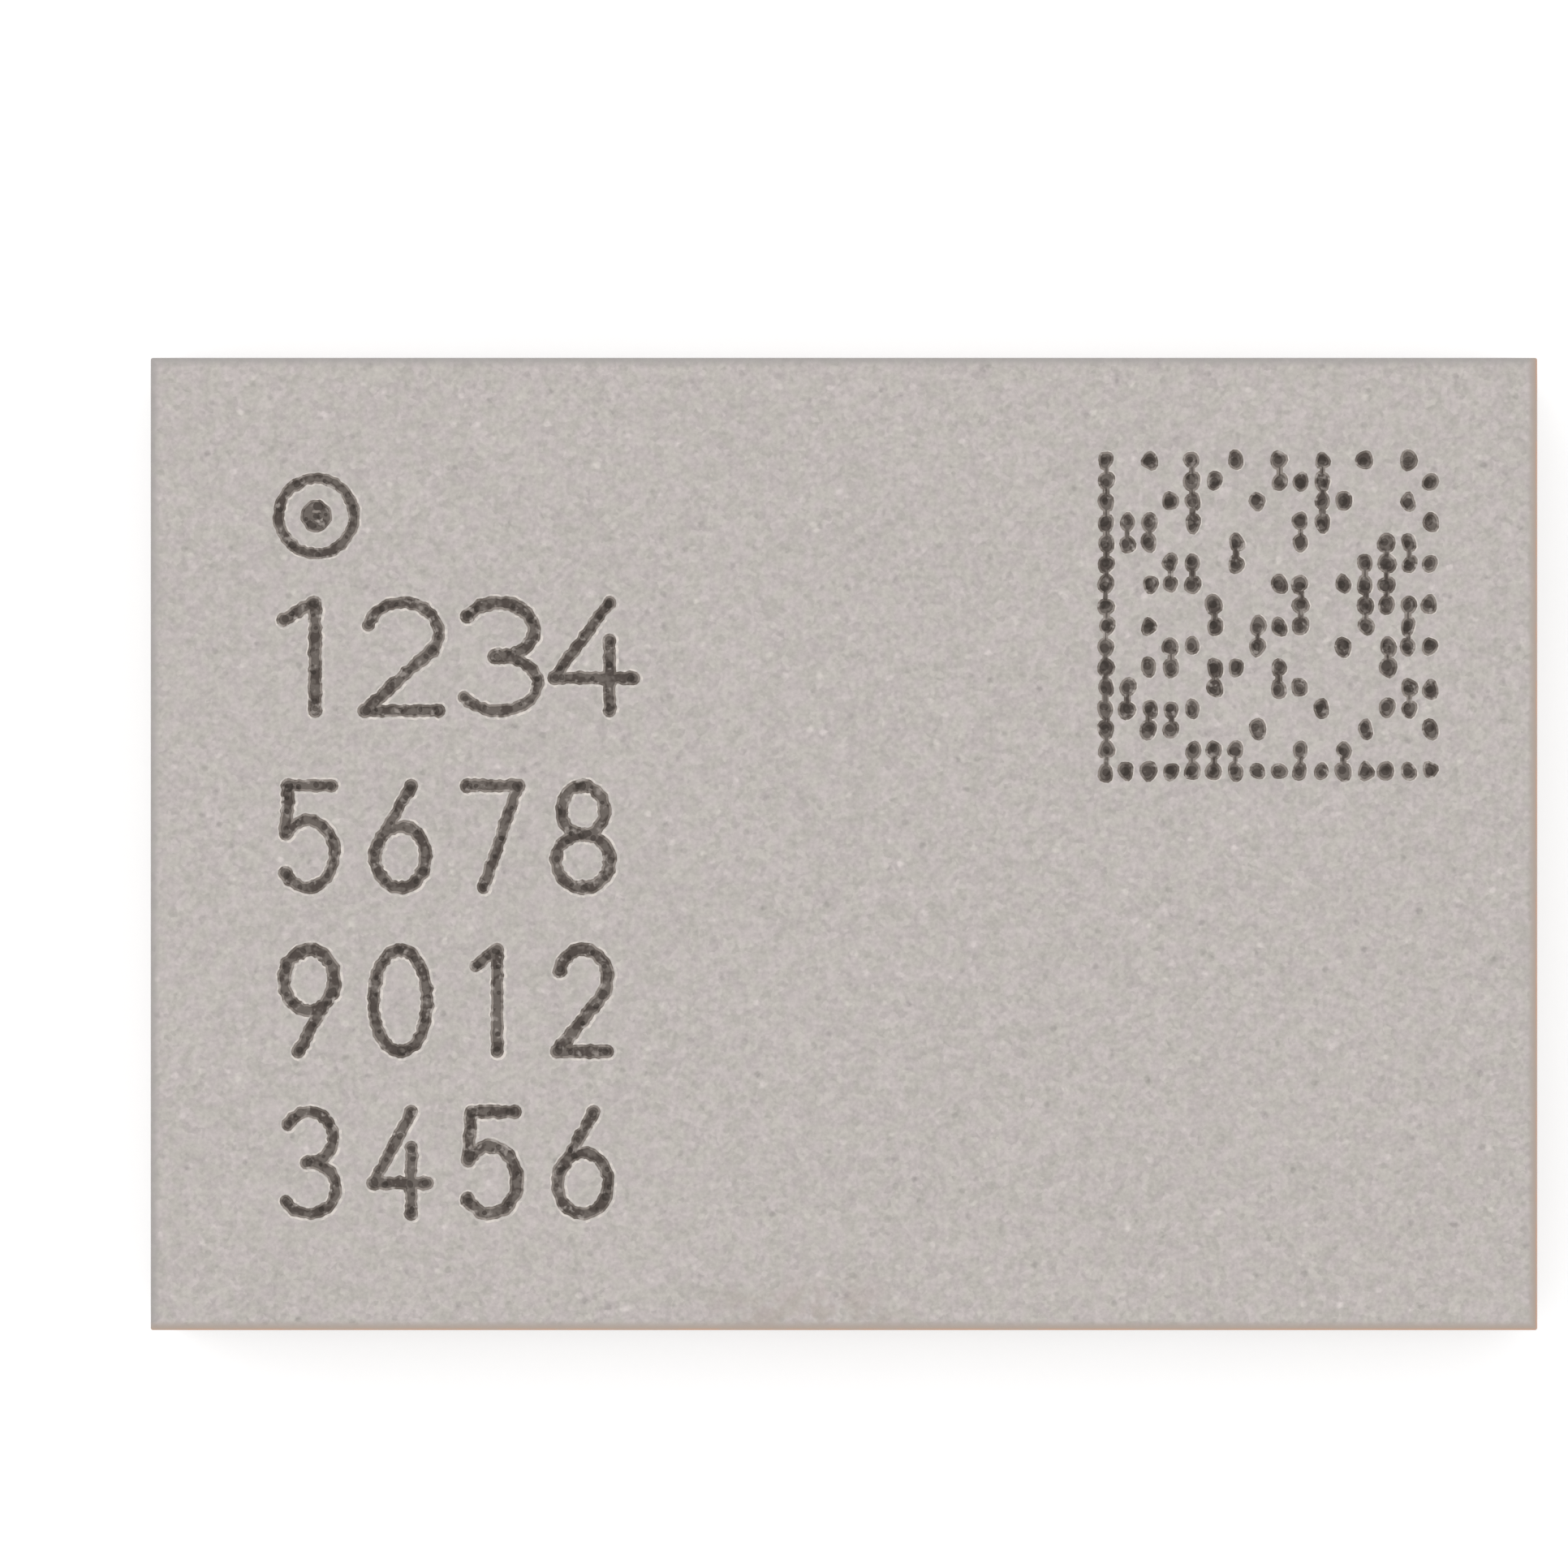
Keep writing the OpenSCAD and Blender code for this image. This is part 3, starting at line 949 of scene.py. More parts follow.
Stroke = Arc | Line
DIGITS: dict[str, tuple[Stroke, ...]] = {
    "0": (Arc(0, 0, 0.5, 0.5, 95, 275), Arc(0, 0, 0.5, 0.5, -90, 95)),
    "1": (Line((0.1, 0.5), (0.1, -0.5)), Line((-0.3, 0.34), (0.08, 0.5))),
    "2": (
        Arc(0, 0.22, 0.45, 0.28, 165, -35),
        Line((0.37, 0.06), (-0.48, -0.5)),
        Line((-0.48, -0.5), (0.45, -0.5)),
    ),
    "3": (Arc(0, 0.25, 0.45, 0.25, 150, -95), Arc(0, -0.25, 0.5, 0.25, 95, -150)),
    "4": (
        Line((0.2, 0.5), (-0.5, -0.2)),
        Line((-0.5, -0.2), (0.5, -0.2)),
        Line((0.2, 0.15), (0.2, -0.5)),
    ),
    "5": (
        Line((0.42, 0.5), (-0.38, 0.5)),
        Line((-0.38, 0.5), (-0.43, 0.06)),
        Arc(-0.03, -0.17, 0.5, 0.33, 143, -145),
    ),
    "6": (
        Line((0.2, 0.5), (-0.4, -0.07)),
        Arc(0, -0.2, 0.47, 0.3, 155, 335),
        Arc(0, -0.2, 0.47, 0.3, -30, 160),
    ),
    "7": (Line((-0.45, 0.5), (0.48, 0.5)), Line((0.48, 0.5), (-0.15, -0.5))),
    "8": (
        Arc(0, 0.26, 0.4, 0.24, -90, 95),
        Arc(0, 0.26, 0.4, 0.24, 90, 275),
        Arc(0, -0.24, 0.5, 0.26, -90, 95),
        Arc(0, -0.24, 0.5, 0.26, 90, 275),
    ),
    "9": (
        Line((-0.2, -0.5), (0.4, 0.07)),
        Arc(0, 0.2, 0.47, 0.3, -25, 155),
        Arc(0, 0.2, 0.47, 0.3, 150, 340),
    ),
}


class Layer(Enum):
    """What a laser mark is made of: three cuts, each inside the last, and the soot on the floor; the rim cut
    is coloured as a painted highlight.
    """

    RIM = "rim"
    SHOULDER = "shoulder"
    BURN = "burn"
    SOOT = "soot"


CUTS = (Layer.RIM, Layer.SHOULDER, Layer.BURN)
Outlines = dict[Layer, list[Point]]


def laser_finishes() -> dict[Layer, bpy.types.Material]:
    """The material of each layer of a laser mark.

    Returns:
        The materials.
    """
    shoulder = BurnFinish("laser_shoulder", srgb(152, 143, 136), srgb(116, 107, 100), srgb(182, 174, 168))
    burn = BurnFinish("laser_burn", srgb(114, 106, 100), srgb(84, 75, 70), srgb(152, 144, 138))
    soot = BurnFinish("laser_soot", srgb(84, 76, 71), srgb(62, 55, 50), srgb(108, 100, 94))
    return {
        # the rim's material is a painted highlight
        Layer.RIM: RimHighlightFinish().build(),
        Layer.SHOULDER: shoulder.build(),
        Layer.BURN: burn.build(),
        Layer.SOOT: soot.build(),
    }


@dataclass(frozen=True)
class TextLine:
    """One line of digits.

    Attributes:
        text: The digits.
        middle: Height of its middle on the top face, in millimetres.
        first: Middle of its first digit, across.
        advance: Distance from one digit's middle to the next.
        width: Width of a digit.
        height: Height of a digit.
    """

    text: str
    middle: float
    first: float = -2.97
    advance: float = 0.507
    width: float = 0.3
    height: float = 0.565


@dataclass
class LaserMarks:
    """Marks burnt into the top face: a pin-one ring, counting digits and a field of dots.

    Lengths are in millimetres. A Span is the least and the most of a value that is drawn at random.

    Attributes:
        top: Height of the top face.
        finishes: Material of each layer.
        depths: How deep the top of each layer lies.
        depth_spread: Factor on the depth of each cut.
        rise: How far a cutting solid stands above the top face.
        grow: How far each layer's outline lies outside the stroke's own edge.
        highlight_shift: How far the rim of a stroke lies to one side, right and down, so that its painted
            highlight falls on that side.
        ragged: How far an edge strays.
        beat: Distance between two pulses of the laser.
        beat_steps: Points of an outline for each pulse.
        beat_swell: How far each pulse widens a stroke, as a share of its width.
        end_swell: The same at a stroke's two ends.
        cap_steps: Steps round a stroke's end.
        stroke: Width of a stroke in the digits.
        stroke_spread: Factor on the width of each stroke.
        ring_at: Middle of the pin-one mark, a ring with a dot in it.
        ring_strokes: Width and course of each stroke in it, the ring first.
        ring_highlight_rim: Width of their rim, which carries the painted highlight, as a share of the
            stroke's width.
        lines: The lines of digits.
        field_at: Left lower dot of the dot field.
        field_pitch: Distance between dots across and up.
        field_count: Dots each way.
        field_share: Share of the places inside the field that hold a dot.
        field_slip: How far a dot lies off its place.
        dot: Half the width and height of a dot.
        dot_points: Points of a dot's outline.
        dot_bulge: Factor on a dot's size at each point, before it is evened out.
        dot_own: Weight of a point's own factor in that, against each neighbour's.
        dot_highlight_rim: Width of a dot's rim, which carries the painted highlight.
        dot_highlight_shift: How far that rim lies to the right, so that its painted highlight falls on that
            side.
        neck: Half the width of the burn between two dots.
        neck_reach: Half its length, as a share of the pitch.
        neck_burn: Width of its inner layer, as a share of the outer one.
        bead_width: Factor on a soot bead's size across.
        bead_height: The same on its other size.
        bead_sunk: How far a bead starts below the burnt floor.
        end_bead: Size of the bead at a stroke's end, as a share of the stroke's width.
        line_bead: The same of a bead along the stroke.
        bead_first: Steps from a stroke's start to the first bead along it.
        bead_gap: Steps from each bead to the next.
        bead_aside: How far a bead lies off the stroke's middle, as a share of its width.
        dot_bead: Size of the bead in a dot, as a share of the dot's.
        dot_bead_aside: How far it lies off the dot's middle, across and up.
        rng: Source of the marks' unevenness.
        soot: Place and size of each bead of soot, noted as the outlines are drawn.
    """

    top: float
    finishes: dict[Layer, bpy.types.Material]
    depths: dict[Layer, float] = field(
        default_factory=lambda: {
            Layer.RIM: 0.001,
            Layer.SHOULDER: 0.003,
            Layer.BURN: 0.006,
            Layer.SOOT: 0.0036,
        }
    )
    depth_spread: Span = (0.93, 1.07)
    rise: Span = (0.02, 0.03)
    grow: dict[Layer, float] = field(
        default_factory=lambda: {Layer.RIM: 0.017, Layer.SHOULDER: 0.005, Layer.BURN: -0.008}
    )
    # painted highlight: the bright rim is moved right and down, to the side that catches the light
    highlight_shift: Point = (0.004, -0.002)
    ragged: float = 0.006
    beat: float = 0.046
    beat_steps: int = 4
    beat_swell: float = 0.025
    end_swell: float = 0.05
    cap_steps: int = 6
    stroke: float = 0.062
    stroke_spread: Span = (0.93, 1.07)
    ring_at: Point = (-2.93, 1.82)
    ring_strokes: tuple[tuple[float, Stroke], ...] = (
        (0.054, Arc(0, 0, 0.209, 0.209, 231, 120)),
        (0.054, Arc(0, 0, 0.209, 0.209, 124, 10)),
        (0.054, Arc(0, 0, 0.209, 0.209, 14, -133)),
        (0.054, Arc(0, 0, 0.056, 0.056, 80, -120)),
        (0.054, Arc(0, 0, 0.056, 0.056, 240, 76)),
        (0.05, Line((-0.017, 0.0), (0.017, 0.0))),
    )
    ring_highlight_rim: float = 0.22
    lines: tuple[TextLine, ...] = (
        TextLine("1234", 1.04, first=-2.98, advance=0.53, width=0.44, height=0.6),
        TextLine("5678", 0.04),
        TextLine("9012", -0.87),
        TextLine("3456", -1.77),
    )
    field_at: Point = (1.455, 0.405)
    field_pitch: Point = (0.12, 0.115)
    field_count: int = 16
    field_share: float = 0.46
    field_slip: float = 0.004
    dot: Point = (0.042, 0.051)
    dot_points: int = 14
    dot_bulge: Span = (0.68, 1.3)
    dot_own: float = 1.6
    dot_highlight_rim: float = 0.009
    dot_highlight_shift: float = 0.003
    neck: Span = (0.013, 0.02)
    neck_reach: float = 0.22
    neck_burn: Span = (0.2, 0.7)
    bead_width: Span = (0.8, 1.15)
    bead_height: Span = (0.85, 1.2)
    bead_sunk: float = 0.0008
    end_bead: Span = (0.28, 0.4)
    line_bead: Span = (0.18, 0.32)
    bead_first: tuple[int, int] = (2, 9)
    bead_gap: tuple[int, int] = (6, 20)
    bead_aside: float = 0.16
    dot_bead: Span = (0.5, 0.75)
    dot_bead_aside: tuple[Span, Span] = ((-0.012, 0.0), (-0.01, 0.01))
    rng: random.Random = field(default_factory=lambda: random.Random(SEED))
    soot: list[tuple[Vector, float]] = field(default_factory=list)

    def burn_into(self, piece: bpy.types.Object) -> bpy.types.Object:
        """Cuts every mark into a piece, the shallow layers first, and lays the soot in them.

        Args:
            piece: What is marked.

        Returns:
            The marked piece.
        """
        outlines = [*self.ring(), *self.characters(), *self.dots()]
        for layer in CUTS:
            tools = [self.prism(marks[layer], layer) for marks in outlines if layer in marks]
            carve(piece, tools)
            LOG.info("laser %s: %d outlines", layer.value, len(tools))
        return join([piece, *self.beads()], piece.name)

    def beads(self) -> list[bpy.types.Object]:
        """The beads of soot, all copied from one low dome.

        Returns:
            The beads.
        """
        bpy.ops.mesh.primitive_uv_sphere_add(segments=10, ring_count=6, radius=1.0)
        dome = bpy.context.active_object
        with editing(dome, "FACE"):
            bpy.ops.mesh.select_all(action="SELECT")
            bpy.ops.mesh.bisect(plane_co=(0, 0, 0), plane_no=(0, 0, 1), clear_inner=True)
        activate(dome)
        bpy.ops.object.shade_smooth()
        dome.data.materials.append(self.finishes[Layer.SOOT])
        made = [self.bead(dome, at, size) for at, size in self.soot]
        bpy.data.meshes.remove(dome.data)
        LOG.info("beads of soot: %d", len(made))
        return made

    def bead(self, dome: bpy.types.Object, at: Vector, size: float) -> bpy.types.Object:
        """A copy of the dome, out of shape, on the burnt floor at one place.

        Args:
            dome: The dome, one millimetre in radius.
            at: Where it goes.
            size: Its mean radius.

        Returns:
            The copy.
        """
        copy = twin(dome, "bead")
        wide, tall = size * self.rng.uniform(*self.bead_width), size * self.rng.uniform(*self.bead_height)
        turn = Matrix.Rotation(self.rng.uniform(0, math.pi), 4, "Z")
        floor = self.top - self.depths[Layer.BURN] - self.bead_sunk
        rise = self.top - self.depths[Layer.SOOT] - floor
        place = Matrix.Translation((at.x, at.y, floor))
        copy.data.transform(place @ turn @ Matrix.Diagonal((wide, tall, rise, 1)))
        return copy

    def prism(self, outline: list[Point], layer: Layer) -> bpy.types.Object:
        """A cutting solid on an outline, from the layer's floor to above the top face.

        Args:
            outline: The closed outline, anticlockwise.
            layer: Which layer it cuts.

        Returns:
            The solid.
        """
        foot = self.top - self.depths[layer] * self.rng.uniform(*self.depth_spread)
        bpy.ops.mesh.primitive_circle_add(vertices=len(outline), radius=1.0, fill_type="NGON")
        made = bpy.context.active_object
        for vertex, (x, y) in zip(made.data.vertices, outline):
            vertex.co = (x, y, foot)
        with editing(made, "FACE"):
            bpy.ops.mesh.select_all(action="SELECT")
            tall = self.top - foot + self.rng.uniform(*self.rise)
            bpy.ops.mesh.extrude_region_move(TRANSFORM_OT_translate={"value": (0, 0, tall)})
            bpy.ops.mesh.select_all(action="SELECT")
            bpy.ops.mesh.normals_make_consistent(inside=False)
        made.data.materials.append(self.finishes[layer])
        return made

    def ring(self) -> list[Outlines]:
        """Outlines of the pin-one ring and its dot, stroke by stroke.

        Returns:
            The outlines.
        """
        made = []
        for width, course in self.ring_strokes:
            path = [(self.ring_at[0] + x, self.ring_at[1] + y) for x, y in course.points()]
            made.append(self.outlines(path, width, self.ring_highlight_rim * width))
        return made

    def characters(self) -> list[Outlines]:
        """Outlines of every stroke in the lines of digits.

        Returns:
            The outlines.
        """
        made = []
        for line in self.lines:
            for place, digit in enumerate(line.text):
                x0 = line.first + place * line.advance
                for course in DIGITS[digit]:
                    path = [(x0 + x * line.width, line.middle + y * line.height) for x, y in course.points()]
                    width = self.stroke * self.rng.uniform(*self.stroke_spread)
                    made.append(self.outlines(path, width, self.grow[Layer.RIM]))
        return made

    def dots(self) -> list[Outlines]:
        """Outlines of the dot field: two plain edges, two dotted ones, and a fill drawn at random.

        Returns:
            The outlines.
        """
        made, last, shown = [], self.field_count - 1, set()
        for row in range(self.field_count):
            for column in range(self.field_count):
                plain = column == 0 or row == 0
                dotted = column % 2 == 0 if row == last else row % 2 == 0
                inside = row != last and column != last
                if plain or (dotted and not inside) or (inside and self.rng.random() < self.field_share):
                    shown.add((column, row))
        slip = (-self.field_slip, self.field_slip)
        for column, row in sorted(shown):
            x = self.field_at[0] + column * self.field_pitch[0] + self.rng.uniform(*slip)
            y = self.field_at[1] + row * self.field_pitch[1] + self.rng.uniform(*slip)
            made.append(self.blot((x, y)))
            if (column, row + 1) in shown:
                made.append(self.bridge((x, y + self.field_pitch[1] / 2)))
        return made

    def bridge(self, at: Point) -> Outlines:
        """Outlines of the thin burn that joins a dot to the one above it.

        Args:
            at: Its middle.

        Returns:
            An outline for each layer that it has.
        """
        reach = self.field_pitch[1] * self.neck_reach

        def bar(half: float) -> list[Point]:
            """An upright bar of that half width."""
            corners = (-half, -reach), (half, -reach), (half, reach), (-half, reach)
            return [(at[0] + x, at[1] + y) for x, y in corners]

        half = self.rng.uniform(*self.neck)
        return {Layer.SHOULDER: bar(half), Layer.BURN: bar(half * self.rng.uniform(*self.neck_burn))}

    def blot(self, at: Point) -> Outlines:
        """Outlines of one dot: a round burn, out of shape.

        Args:
            at: Its middle.

        Returns:
            An outline for each layer.
        """
        count = self.dot_points
        raw = [self.rng.uniform(*self.dot_bulge) for _ in range(count)]
        own = self.dot_own
        bulge = [(raw[i - 1] + own * raw[i] + raw[(i + 1) % count]) / (own + 2) for i in range(count)]
        angles = [2 * math.pi * i / count for i in range(count)]

        def loop(grow: float, shift: float = 0.0) -> list[Point]:
            """The outline of one layer.

            Args:
                grow: How far it lies outside the dot's edge.
                shift: How far it lies to the right.

            Returns:
                Its points, anticlockwise.
            """
            across = [self.dot[0] * b + grow for b in bulge]
            up = [self.dot[1] * b + grow for b in bulge]
            return [
                (at[0] + shift + w * math.cos(a), at[1] + h * math.sin(a))
                for a, w, h in zip(angles, across, up)
            ]

        aside = Vector([self.rng.uniform(*span) for span in self.dot_bead_aside])
        self.soot.append((Vector(at) + aside, min(self.dot) * self.rng.uniform(*self.dot_bead)))
        return {
            # painted highlight: the dot's bright rim, moved to the right
            Layer.RIM: loop(self.dot_highlight_rim, self.dot_highlight_shift),
            Layer.SHOULDER: loop(self.grow[Layer.SHOULDER]),
            Layer.BURN: loop(self.grow[Layer.BURN]),
        }

    def outlines(self, path: list[Point], width: float, rim: float) -> Outlines:
        """Rough outlines round a path, with blunt round ends, and its soot.

        Args:
            path: Points along the middle of the stroke.
            width: The stroke's mean width.
            rim: Width of its rim, which carries the painted highlight.

        Returns:
            An outline for each layer.
        """
        steps = self.beat_steps
        points = self.even_steps(path, self.beat / steps)
        count = len(points)
        right, left = self.stray(count, width), self.stray(count, width)
        pulse = [self.beat_swell * width * math.cos(2 * math.pi * i / steps) for i in range(count)]
        knob = [self.end_swell * width * max(0.0, 1 - min(i, count - 1 - i) / steps) for i in range(count)]
        self.add_soot(points, width)

        def loop(grow: float, shift: Point = (0.0, 0.0)) -> list[Point]:
            """The outline of one layer.

            Args:
                grow: How far it lies outside the stroke's edge.
                shift: How far it is moved across and up.

            Returns:
                Its points, anticlockwise.
            """
            there, back = [], []
            for i, point in enumerate(points):
                before, after = points[max(0, i - 1)], points[min(count - 1, i + 1)]
                along = (after - before).normalized()
                side = Vector((along.y, -along.x))
                half = width / 2 + grow + pulse[i] + knob[i]
                there.append(point + side * (half + right[i]))
                back.append(point - side * (half + left[i]))
            far = self.cap(points[-1], there[-1], back[-1])
            near = self.cap(points[0], back[0], there[0])
            return [tuple(p + Vector(shift)) for p in [*there, *far, *reversed(back), *near]]

        return {
            # painted highlight: the bright rim outline, moved right and down
            Layer.RIM: loop(rim, self.highlight_shift),
            Layer.SHOULDER: loop(self.grow[Layer.SHOULDER] * width / self.stroke),
            Layer.BURN: loop(self.grow[Layer.BURN] * width / self.stroke),
        }

    def add_soot(self, points: list[Vector], width: float) -> None:
        """Notes where soot gathers on a stroke: at both its ends, and here and there between.

        Args:
            points: Points along the middle of the stroke, at even steps.
            width: The stroke's mean width.
        """
        last = len(points) - 1
        for i in (1, last - 1):
            self.soot.append((points[i], width * self.rng.uniform(*self.end_bead)))
        i = self.rng.randint(*self.bead_first)
        while i < last - 1:
            aside = Vector((self.rng.uniform(-1, 1), self.rng.uniform(-1, 1))) * width * self.bead_aside
            self.soot.append((points[i] + aside, width * self.rng.uniform(*self.line_bead)))
            i += self.rng.randint(*self.bead_gap)

    def cap(self, middle: Vector, start: Vector, stop: Vector) -> list[Vector]:
        """Points round a stroke's end, anticlockwise.

        Args:
            middle: The end of the stroke's middle line.
            start: The outline's last point before the end.
            stop: Its first point after the end.

        Returns:
            The points between those two.
        """
        first, last = start - middle, stop - middle
        radius = (first.length + last.length) / 2
        begin = math.atan2(first.y, first.x)
        angles = [begin + math.pi * k / self.cap_steps for k in range(1, self.cap_steps)]
        return [middle + Vector((math.cos(a), math.sin(a))) * radius for a in angles]

    def even_steps(self, path: list[Point], step: float) -> list[Vector]:
        """Points at even steps along a path.

        Args:
            path: The path's corners.
            step: About how far apart the points lie.

        Returns:
            The points, both ends of the path among them.
        """
        nodes = [Vector(p) for p in path]
        spans = [(b - a).length for a, b in zip(nodes, nodes[1:])]
        total = sum(spans)
        count = max(3, round(total / step))
        made, done, i = [], 0.0, 0
        for k in range(count + 1):
            goal = total * k / count
            while i < len(spans) - 1 and done + spans[i] < goal:
                done += spans[i]
                i += 1
            made.append(nodes[i].lerp(nodes[i + 1], (goal - done) / spans[i]))
        return made

    def stray(self, count: int, width: float) -> list[float]:
        """How far an edge strays at each point, changing smoothly along it.

        Args:
            count: How many points there are.
            width: The stroke's width: a narrow stroke strays less.

        Returns:
            The distance at each point.
        """
        reach = self.ragged * min(1.0, width / self.stroke) ** 1.5
        own, whole = 1.4, 2.2  # a point's own weight, and what the weighted sum is divided by
        raw = [self.rng.uniform(-1, 1) for _ in range(count + 2)]
        return [reach * (raw[i] + own * raw[i + 1] + raw[i + 2]) / whole for i in range(count)]


# ---------------------------------------------------------------- sub-assemblies


@dataclass
class Shield:
    """The metal film over the top and sides, with its laser marks.

    Attributes:
        film: Its thickness in millimetres.
        arris: Size of its rounded, rubbed arrises.
        crease: Angle in degrees at which a change of face stays sharp.
        open_by: How far the hollow reaches below the film's foot, so that the film is open there.
    """

    film: float = 0.01
    arris: float = 0.012
    crease: float = 35.0
    open_by: float = 0.1

    def build(self) -> None:
        """Makes the film, cuts the marks and hands it over."""
        low, high = box_mm("shield")
        under, over = box_mm("laminate")
        finish = FilmFinish(half=(high.x, high.y), top=high.z, foot=low.z, seams=(under.z, over.z))
        shell = self.shell(low, high, finish.build())
        smooth(shell, self.crease)
        shell = LaserMarks(high.z, laser_finishes()).burn_into(shell)
        settle(shell, "shield_film", "shield")

    def shell(self, low: Vector, high: Vector, film: bpy.types.Material) -> bpy.types.Object:
        """The film as a block with rounded, rubbed arrises, hollowed from below.

        Args:
            low: Its lowest corner.
            high: Its highest corner.
            film: Its material.

        Returns:
            The hollow film.
        """
        block = add_block("shield_film", low, high)
        block.data.materials.append(film)
        mesh = block.data
        with editing(block, "EDGE"):
            pick(mesh.edges, lambda edge: max(heights(mesh, edge)) >= low.z + NEAR)
            bpy.ops.mesh.bevel(offset=self.arris, segments=3, affect="EDGES")
        wall = Vector((self.film, self.film, 0))
        start = low + wall - Vector((0, 0, self.open_by))
        hollow = add_block("hollow", start, high - wall - Vector((0, 0, self.film)))
        hollow.data.materials.append(film)
        carve(block, [hollow])
        return block


@dataclass
class LowerMoulding:
    """The moulding under the laminate, with its laser-cut cavities.

    Lengths are in millimetres.

    Attributes:
        places: Middle of each ball.
        mouth: Radius of a cavity at the lower face.
        floor: Radius at its floor.
        depth: Its depth.
        collar: Radius of the rough collar round it.
        collar_depth: Depth of the collar.
        sides: Facets round a cavity.
        clear: How far a cutting solid stands out below the lower face.
        waves: Waves that the wall is out of round by.
        swell: How far the waves carry it.
        tooth: How far each point of the wall strays besides.
        tooth_span: Part of a cutting solid's depth where points stray, from the lower face up.
        crease: Angle in degrees at which a change of face stays sharp.
        rng: Source of the cavities' unevenness.
    """

    places: list[Point]
    mouth: float = 0.206
    floor: float = 0.172
    depth: float = 0.06
    collar: float = 0.224
    collar_depth: float = 0.004
    sides: int = 36
    clear: float = 0.03
    waves: int = 7
    swell: float = 0.005
    tooth: float = 0.003
    tooth_span: Span = (-0.1, 0.9)
    crease: float = 30.0
    rng: random.Random = field(default_factory=lambda: random.Random(SEED + 1))

    def build(self) -> None:
        """Makes the moulding and hands it over."""
        low, high = box_mm("lower_mould")
        block = add_block("lower_moulding", low, high)
        block.data.materials.append(CompoundFinish("mould_compound_face").build())
        for plug in (self.collar_plug(low.z), self.cavity_plug(low.z)):
            carve(block, [self.uneven(plug, place, low.z) for place in self.places])
            bpy.data.meshes.remove(plug.data)
        smooth(block, self.crease)
        settle(block, "mould_compound", "lower_mould")

    def plug(self, radius: float, depth: float, face: float) -> bpy.types.Object:
        """A cylinder that stands out below the face and reaches some way into it.

        Args:
            radius: Its radius.
            depth: How far it reaches in.
            face: Height of the moulding's lower face.

        Returns:
            The cylinder, at the origin.
        """
        bpy.ops.mesh.primitive_cylinder_add(
            vertices=self.sides, radius=radius, depth=depth, location=(0, 0, face + depth / 2)
        )
        plug = fix_place(bpy.context.active_object)
        with editing(plug, "FACE"):
            pick(plug.data.polygons, lambda side: side.normal.z < -FACING)
            bpy.ops.mesh.extrude_region_move(TRANSFORM_OT_translate={"value": (0, 0, -self.clear)})
        return plug

    def collar_plug(self, face: float) -> bpy.types.Object:
        """The shallow cut that leaves a rough pale collar round a cavity.

        Args:
            face: Height of the moulding's lower face.

        Returns:
            Its cutting solid, at the origin.
        """
        plug = self.plug(self.collar, self.collar_depth, face)
        pale = srgb(108, 106, 108), srgb(88, 84, 84), srgb(178, 175, 174)
        finish = CompoundFinish("laser_cut_collar", *pale, share=0.7, roughness=0.45, relief=0.01)
        plug.data.materials.append(finish.build())
        return plug

    def cavity_plug(self, face: float) -> bpy.types.Object:
        """The tapered cut of a cavity, with two rings of facets up its wall.

        Args:
            face: Height of the moulding's lower face.

        Returns:
            Its cutting solid, at the origin.
        """
        plug = self.plug(self.mouth, self.depth, face)
        mesh = plug.data
        with editing(plug, "FACE"):
            pick(mesh.polygons, lambda side: side.normal.z > FACING)
            taper = self.floor / self.mouth
            bpy.ops.transform.resize(value=(taper, taper, 1), center_override=(0, 0, face + self.depth))
        with editing(plug, "EDGE"):
            middle = face + self.depth / 2
            pick(mesh.edges, lambda edge: min(heights(mesh, edge)) < middle < max(heights(mesh, edge)))
            bpy.ops.mesh.subdivide(number_cuts=2)
        wall = srgb(66, 65, 70), srgb(54, 51, 52), srgb(132, 129, 130)
        base = srgb(32, 31, 36), srgb(42, 38, 36), srgb(96, 92, 90)
        wall_finish = CompoundFinish("laser_cut_wall", *wall, share=0.6, roughness=0.5, relief=0.012)
        base_finish = CompoundFinish("cavity_floor", *base, share=0.3, roughness=0.5, relief=0.008)
        for finish in (wall_finish, base_finish):
            mesh.materials.append(finish.build())
        for polygon in mesh.polygons:
            polygon.material_index = 1 if polygon.normal.z > FACING else 0
        return plug

    def uneven(self, model: bpy.types.Object, place: Point, face: float) -> bpy.types.Object:
        """A copy of a cutting solid with an uneven wall, at one ball's place.

        Args:
            model: The cutting solid.
            place: The ball's middle.
            face: Height of the moulding's lower face.

        Returns:
            The copy.
        """
        plug = twin(model, "plug")
        waves = [self.rng.uniform(-1, 1) for _ in range(self.waves)]
        low, high = self.tooth_span
        for vertex in plug.data.vertices:
            angle = math.atan2(vertex.co.y, vertex.co.x)
            rise = (vertex.co.z - face) / self.depth
            slow = sum(w * math.sin((k + 1) * angle + 5 * w) for k, w in enumerate(waves)) / 3
            fast = self.rng.uniform(-1, 1) if low < rise < high else 0.0
            grown = 1 + (self.swell * slow + self.tooth * fast) / math.hypot(vertex.co.x, vertex.co.y)
            vertex.co.x *= grown
            vertex.co.y *= grown
        plug.data.transform(Matrix.Translation((*place, 0)))
        return plug


